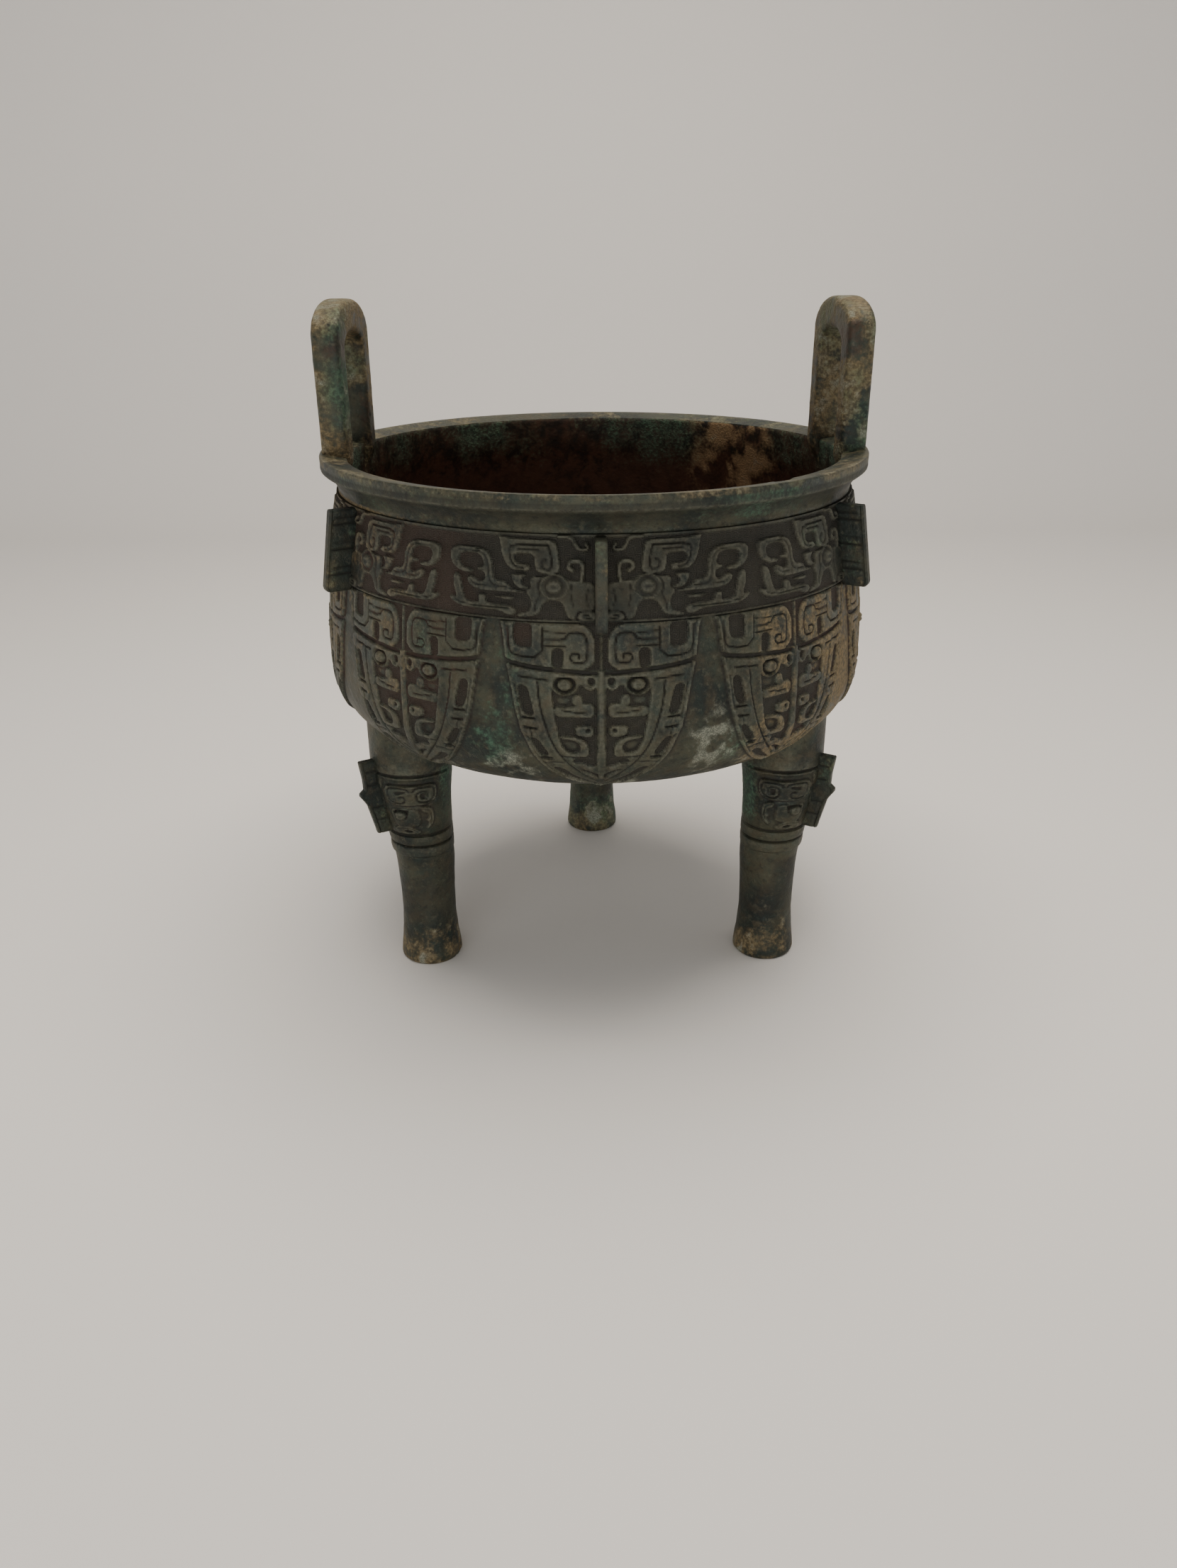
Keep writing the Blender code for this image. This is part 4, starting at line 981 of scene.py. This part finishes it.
def ear(name, azimuth, seed, material):
    """An upright loop of squarish section whose feet run down into the lip."""
    outer = arch(EAR_HALF, EAR_CROWN, EAR_RISE, 0.92)
    inner = arch(LOOP_HALF, LOOP_TOP, LOOP_RISE, 1)
    middle = (outer + inner) / 2
    reach = (outer - inner) / 2
    turn = np.arange(EAR_AROUND) * 2 * math.pi / EAR_AROUND
    square_c = np.sign(np.cos(turn)) * np.abs(np.cos(turn)) ** EAR_SQUARENESS
    square_s = np.sign(np.sin(turn)) * np.abs(np.sin(turn)) ** EAR_SQUARENESS
    flat = middle[:, None, :] + reach[:, None, :] * square_c[None, :, None]
    depth = np.broadcast_to(EAR_THICK / 2 * square_s[None, :], flat.shape[:2])
    sunk = 1 - smooth(middle[:, 1], 272, EAR_SUNK)[:, None]
    far = EAR_DISTANCE + depth
    far = far * (1 - sunk) + (EAR_FOOT_DISTANCE + depth * 0.1) * sunk
    out_way = np.array([math.sin(azimuth * DEG), -math.cos(azimuth * DEG)])
    along = np.array([math.cos(azimuth * DEG), math.sin(azimuth * DEG)])
    plan = far[..., None] * out_way + flat[..., 0:1] * along
    points = np.concatenate([plan, flat[..., 1:2]], -1)
    centre = np.concatenate([middle[:, 0:1] * along + EAR_DISTANCE * out_way, middle[:, 1:2]], 1)[:, None, :]
    away = points - centre
    away /= np.maximum(np.linalg.norm(away, axis=-1, keepdims=True), 1e-6)
    pock = smooth(cloud(points + seed * 2, 4.5, 2), 0.22, 0.4)
    lift = 1.1 * rough(points + seed) - 0.35 - 0.5 * pock
    points = points + away * np.minimum(lift, 0.05)[..., None] * (1 - sunk)[..., None]
    ends = [points[0].mean(0, keepdims=True), points[-1].mean(0, keepdims=True)]
    faces = list(ring_quads(len(points), EAR_AROUND)) + end_fans(len(points), EAR_AROUND)
    points = np.concatenate([points.reshape(-1, 3)] + ends)

    medium, fine = blotches(points, seed)
    broad = cloud(points + seed, 34, 3)
    top = smooth(points[:, 2], 352, 365)
    outward = (points[:, 0] * out_way[0] + points[:, 1] * out_way[1]) > EAR_DISTANCE
    masks = {
        "recess": 0.25, "wear": 0.25 * top,
        "verdigris": unit(0.34 + 1.5 * broad + 1.3 * medium),
        "ochre": unit(0.60 + 0.5 * top - 1.0 * broad + 1.7 * medium + 1.0 * fine),
        "ash_and_underside_light": np.clip(0.24 + 1.5 * fine + 1.2 * medium + 0.25 * top, 0, 0.85),
        "rust": unit(0.35 - 1.4 * medium - 0.3 * top) * ~outward,
    }
    return make_piece(name, points, faces, masks, material)


# Patinated bronze, as nodes
class Graph:
    """Short calls that add and link shader nodes."""

    def __init__(self, tree):
        self.tree = tree

    def put(self, socket, value):
        """Links a socket to another, or sets its value."""
        if isinstance(value, bpy.types.NodeSocket):
            self.tree.links.new(value, socket)
        else:
            socket.default_value = value

    def math(self, operation, *values):
        """One step of arithmetic."""
        node = self.tree.nodes.new("ShaderNodeMath")
        node.operation = operation
        for socket, value in zip(node.inputs, values):
            self.put(socket, value)
        return node.outputs[0]

    def attribute(self, name, output="Fac"):
        """A mask of the mesh."""
        node = self.tree.nodes.new("ShaderNodeAttribute")
        node.attribute_name = name
        return node.outputs[output]

    def noise(self, scale, detail=3.0, rough=0.55, distortion=0.0):
        """Noise in the object's own metres."""
        node = self.tree.nodes.new("ShaderNodeTexNoise")
        place = self.tree.nodes.new("ShaderNodeTexCoord")
        self.put(node.inputs["Vector"], place.outputs["Object"])
        node.inputs["Scale"].default_value = scale
        node.inputs["Detail"].default_value = detail
        node.inputs["Roughness"].default_value = rough
        node.inputs["Distortion"].default_value = distortion
        return node.outputs["Fac"]

    def grains(self, scale):
        """Distance from the middles of scattered grains."""
        node = self.tree.nodes.new("ShaderNodeTexVoronoi")
        place = self.tree.nodes.new("ShaderNodeTexCoord")
        self.put(node.inputs["Vector"], place.outputs["Object"])
        node.inputs["Scale"].default_value = scale
        return node.outputs["Distance"]

    def step(self, value, low, high):
        """0 below low, 1 above high, smooth between."""
        node = self.tree.nodes.new("ShaderNodeMapRange")
        node.interpolation_type = "SMOOTHSTEP"
        self.put(node.inputs["Value"], value)
        node.inputs["From Min"].default_value = low
        node.inputs["From Max"].default_value = high
        return node.outputs["Result"]

    def mix(self, share, first, second):
        """Mixes two colours by a share of the second."""
        node = self.tree.nodes.new("ShaderNodeMix")
        node.data_type = "RGBA"
        self.put(node.inputs[0], share)
        self.put(node.inputs[6], first)
        self.put(node.inputs[7], second)
        return node.outputs[2]

    def tint(self, colour, value, low, high, share, paint):
        """Mixes a paint into a colour by a share where a value passes from low to high."""
        return self.mix(self.math("MULTIPLY", self.step(value, low, high), share), colour, paint)


def spirals(g, cell=3.4):
    """Height of a ground of square spirals, cell mm apart, in the panel's own millimetres."""
    parts = g.tree.nodes.new("ShaderNodeSeparateXYZ")
    g.put(parts.inputs[0], g.attribute("panel", "Vector"))
    x = g.math("DIVIDE", parts.outputs[0], cell)
    y = g.math("DIVIDE", parts.outputs[1], cell)
    fx = g.math("SUBTRACT", g.math("FRACT", x), 0.5)
    fy = g.math("SUBTRACT", g.math("FRACT", y), 0.5)
    far = g.math("MAXIMUM", g.math("ABSOLUTE", fx), g.math("ABSOLUTE", fy))
    turn = g.math("DIVIDE", g.math("ARCTAN2", fy, fx), 2 * math.pi)
    cells = g.math("ADD", g.math("FLOOR", x), g.math("FLOOR", y))
    parity = g.math("MODULO", g.math("ABSOLUTE", cells), 2.0)
    way = g.math("SUBTRACT", g.math("MULTIPLY", parity, 2.0), 1.0)
    wave = g.math("FRACT", g.math("ADD", g.math("MULTIPLY", far, 4.6), g.math("MULTIPLY", turn, way)))
    rise = g.math("ABSOLUTE", g.math("SUBTRACT", wave, 0.5))
    return g.step(rise, 0.12, 0.34)


def bronze_material(name):
    """Dark patina with brown, green, tan and pale grey corrosion where the masks put it; the pale grey also
    paints light on the underside, and the masks paint shade into hollows and highlights onto edges.
    """
    material = bpy.data.materials.new(name)
    material.use_nodes = True
    g = Graph(material.node_tree)
    shader = material.node_tree.nodes["Principled BSDF"]
    broad, middle = g.noise(34, 4), g.noise(130, 4, 0.6, 0.4)
    fine, dust = g.noise(520, 3, 0.6), g.noise(1500, 2)
    speckle, grains = g.noise(270, 4, 0.7), g.grains(900)
    recess, wear = g.attribute("recess"), g.attribute("wear")
    inside, ground = g.attribute("inside"), g.attribute("leiwen")

    def patches(key, low, high, strength=0.9):
        """A corrosion mask broken up by the finer noises."""
        value = g.math("ADD", g.attribute(key), g.math("MULTIPLY", g.math("SUBTRACT", middle, 0.5), 0.9))
        value = g.math("ADD", value, g.math("MULTIPLY", g.math("SUBTRACT", fine, 0.5), 0.7))
        return g.math("MULTIPLY", g.math("MULTIPLY", g.step(value, low, high), strength),
                      g.step(g.attribute(key), 0.02, 0.2))

    colour = g.mix(g.step(broad, 0.36, 0.64), (0.011, 0.015, 0.013, 1), (0.047, 0.047, 0.030, 1))
    for value, low, high, share, paint in (
            (middle, 0.48, 0.70, 0.60, (0.054, 0.043, 0.025, 1)),
            (middle, 0.52, 0.30, 0.50, (0.018, 0.031, 0.025, 1)),
            (fine, 0.55, 0.75, 0.45, (0.058, 0.062, 0.045, 1)),
            (speckle, 0.53, 0.66, 0.55, (0.010, 0.011, 0.009, 1)),
            (speckle, 0.45, 0.34, 0.45, (0.078, 0.076, 0.052, 1))):
        colour = g.tint(colour, value, low, high, share, paint)
    inner = g.mix(g.step(middle, 0.35, 0.65), (0.014, 0.008, 0.005, 1), (0.062, 0.025, 0.013, 1))
    inner = g.tint(inner, fine, 0.5, 0.75, 0.35, (0.085, 0.052, 0.024, 1))
    colour = g.mix(inside, colour, inner)
    colour = g.mix(patches("rust", 0.35, 0.9, 0.6), colour, (0.050, 0.022, 0.013, 1))
    ochre = g.mix(g.step(fine, 0.3, 0.7), (0.078, 0.056, 0.026, 1), (0.225, 0.160, 0.075, 1))
    ochre = g.mix(inside, ochre, (0.260, 0.165, 0.080, 1))
    colour = g.mix(patches("ochre", 0.25, 0.95, 0.7), colour, ochre)
    green = g.mix(g.step(fine, 0.35, 0.7), (0.018, 0.044, 0.029, 1), (0.060, 0.128, 0.080, 1))
    colour = g.mix(patches("verdigris", 0.25, 1.05, 0.7), colour, green)
    ash_and_underside_light = g.mix(g.step(dust, 0.35, 0.65), (0.085, 0.092, 0.072, 1), (0.235, 0.240, 0.190, 1))
    colour = g.mix(patches("ash_and_underside_light", 0.35, 1.05, 0.75), colour, ash_and_underside_light)
    # Painted shade: recesses, the lip's face, the hidden wall and the carved band darken towards near black,
    # with some rust-brown patina in the hollows
    deep = g.math("MULTIPLY", g.step(recess, 0.28, 0.85), 0.84)
    depths = g.mix(g.attribute("rust"), (0.0095, 0.0095, 0.0075, 1), (0.025, 0.0135, 0.009, 1))
    colour = g.mix(deep, colour, depths)
    # Painted highlight: raised edges, the lip's lower edge and the rim's outer edge turn pale where this mask
    # is high, partly standing for real wear
    worn = g.math("MULTIPLY", wear, g.step(fine, 0.25, 0.60))
    colour = g.mix(g.math("MULTIPLY", worn, 0.42), colour, (0.125, 0.122, 0.090, 1))
    lines = g.math("MULTIPLY", ground, spirals(g))
    colour = g.mix(g.math("MULTIPLY", lines, 0.42), colour, (0.050, 0.046, 0.034, 1))
    g.put(shader.inputs["Base Color"], colour)

    crust = g.math("MAXIMUM", patches("ash_and_underside_light", 0.35, 0.95), patches("verdigris", 0.4, 1.0))
    crust = g.math("MAXIMUM", crust, patches("ochre", 0.4, 1.0))
    metal = g.math("MULTIPLY", g.math("SUBTRACT", 1.0, crust), 0.42)
    metal = g.math("MULTIPLY", metal, g.math("SUBTRACT", 1.0, g.math("MULTIPLY", inside, 0.7)))
    open_share = g.math("SUBTRACT", 1.0, deep)
    g.put(shader.inputs["Metallic"], g.math("MULTIPLY", metal, open_share))
    gloss = g.math("ADD", 0.40, g.math("MULTIPLY", middle, 0.22))
    gloss = g.math("ADD", gloss, g.math("MULTIPLY", g.math("MAXIMUM", crust, deep), 0.32))
    g.put(shader.inputs["Roughness"], g.math("MINIMUM", gloss, 0.95))
    shader.inputs["Specular IOR Level"].default_value = 0.32

    relief = g.math("MULTIPLY", lines, 0.55)
    crumbs = g.math("MULTIPLY", crust, g.math("SUBTRACT", 1.0, grains))
    for value, share in ((fine, 0.32), (dust, 0.16), (speckle, 0.55), (crumbs, 0.45)):
        relief = g.math("ADD", relief, g.math("MULTIPLY", value, share))
    bump = material.node_tree.nodes.new("ShaderNodeBump")
    bump.inputs["Distance"].default_value = 0.0010
    bump.inputs["Strength"].default_value = 0.75
    g.put(bump.inputs["Height"], relief)
    g.put(shader.inputs["Normal"], bump.outputs["Normal"])
    return material


def plain_material(name, colour, roughness):
    """One even colour."""
    material = bpy.data.materials.new(name)
    material.use_nodes = True
    shader = material.node_tree.nodes["Principled BSDF"]
    shader.inputs["Base Color"].default_value = colour
    shader.inputs["Roughness"].default_value = roughness
    return material


# Floor, light and camera
def sweep():
    """A plain pale floor that curves up into a backdrop."""
    reach, bend_at, bend, top = 3.0, 1.1, 0.5, 3.2
    line = [(-reach, 0.0), (bend_at, 0.0)]
    for t in range(6, 91, 6):
        line.append((bend_at + bend * math.sin(t * DEG), bend - bend * math.cos(t * DEG)))
    line.append((bend_at + bend, top))
    bm = bmesh.new()
    left = [bm.verts.new((-reach, y, z)) for y, z in line]
    right = [bm.verts.new((reach, y, z)) for y, z in line]
    for k in range(len(line) - 1):
        bm.faces.new((left[k], right[k], right[k + 1], left[k + 1]))
    mesh = bpy.data.meshes.new("floor")
    bm.to_mesh(mesh)
    bm.free()
    mesh.shade_smooth()
    obj = bpy.data.objects.new("floor", mesh)
    bpy.context.scene.collection.objects.link(obj)
    mesh.materials.append(plain_material("pale_floor", (0.78, 0.755, 0.725, 1), 0.7))


def area_light(name, place, target, size, energy, colour):
    """A soft light; size is its width and height in metres."""
    light = bpy.data.lights.new(name, "AREA")
    light.shape = "RECTANGLE"
    light.size, light.size_y = size
    light.energy = energy
    light.color = colour
    obj = bpy.data.objects.new(name, light)
    bpy.context.scene.collection.objects.link(obj)
    obj.location = place
    obj.rotation_euler = (Vector(target) - Vector(place)).to_track_quat("-Z", "Y").to_euler()


def lights():
    """A warm light above, a weak one in front, and low ones that stand for the bright case floor."""
    area_light("overhead", (0.05, 0.05, 1.45), (0, 0, 0), (1.1, 1.1), 24, (1.0, 0.93, 0.83))
    area_light("front_soft", (-0.5, -1.6, 0.9), (0, 0, 0.2), (1.4, 1.0), 4.0, (0.97, 0.99, 1.0))
    area_light("low_front", (0.0, -1.7, 0.14), (0, 0, 0.2), (2.0, 0.26), 12, (1.0, 0.99, 0.96))
    area_light("low_left", (-1.8, 0.0, 0.16), (0, 0, 0.2), (1.6, 0.3), 6, (1.0, 0.97, 0.93))
    area_light("low_right", (1.8, 0.0, 0.16), (0, 0, 0.2), (1.6, 0.3), 6, (1.0, 0.97, 0.93))
    world = bpy.data.worlds.new("studio")
    world.use_nodes = True
    background = world.node_tree.nodes["Background"]
    background.inputs["Color"].default_value = (0.86, 0.83, 0.80, 1)
    background.inputs["Strength"].default_value = 0.34
    bpy.context.scene.world = world


PHOTO_HEIGHT = 2212
FOCAL_PIXELS = 1662
SENSOR = 36


def camera():
    """The photograph's view: its place in metres, and pitch, heading and roll in degrees."""
    place = (-0.01425, -0.67601, 0.3879)
    pitch, heading, roll = 24.2706 * DEG, 0.8586 * DEG, -0.3801 * DEG
    level = math.cos(pitch)
    forward = Vector((math.sin(heading) * level, math.cos(heading) * level, -math.sin(pitch)))
    right = Vector((math.cos(heading), -math.sin(heading), 0))
    up = right.cross(forward)
    x = right * math.cos(roll) + up * math.sin(roll)
    y = up * math.cos(roll) - right * math.sin(roll)
    data = bpy.data.cameras.new("camera")
    data.sensor_width = SENSOR
    data.lens = FOCAL_PIXELS * SENSOR / PHOTO_HEIGHT
    obj = bpy.data.objects.new("camera", data)
    bpy.context.scene.collection.objects.link(obj)
    turn = Matrix((x, y, -forward)).transposed()
    obj.matrix_world = Matrix.Translation(place) @ turn.to_4x4()
    bpy.context.scene.camera = obj


def main():
    """Builds the vessel and its surroundings."""
    material = bronze_material("patinated_bronze")
    vessel = bowl(material)
    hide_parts(NODE)
    band_from = 180 - MASK_HALF
    # The band under the rim darkens at least 0.57: painted shade, with dark patina
    relief_sheet("mask_band", mask_panel(), band_from, MASKS, MASK_HALF, True, 0.0, 0.57, material)
    blade = blade_panel()
    for k in range(3):
        first = 120 * k - BLADE_HALF
        relief_sheet(f"blades_{k + 1}", blade, first, BLADES // 3, BLADE_HALF, False, 0.25, 0.0, material)
    belly_flanges(material)
    panel = leg_panel()
    for k, (where, azimuth) in enumerate((("front_right", 60), ("back", 180), ("front_left", -60))):
        leg(f"leg_{where}", azimuth, panel, 37.0 * k, material)
    leg_crests(material)
    ear("ear_right", 94, 11.0, material)
    ear("ear_left", -94, 57.0, material)
    sweep()
    lights()
    camera()


main()
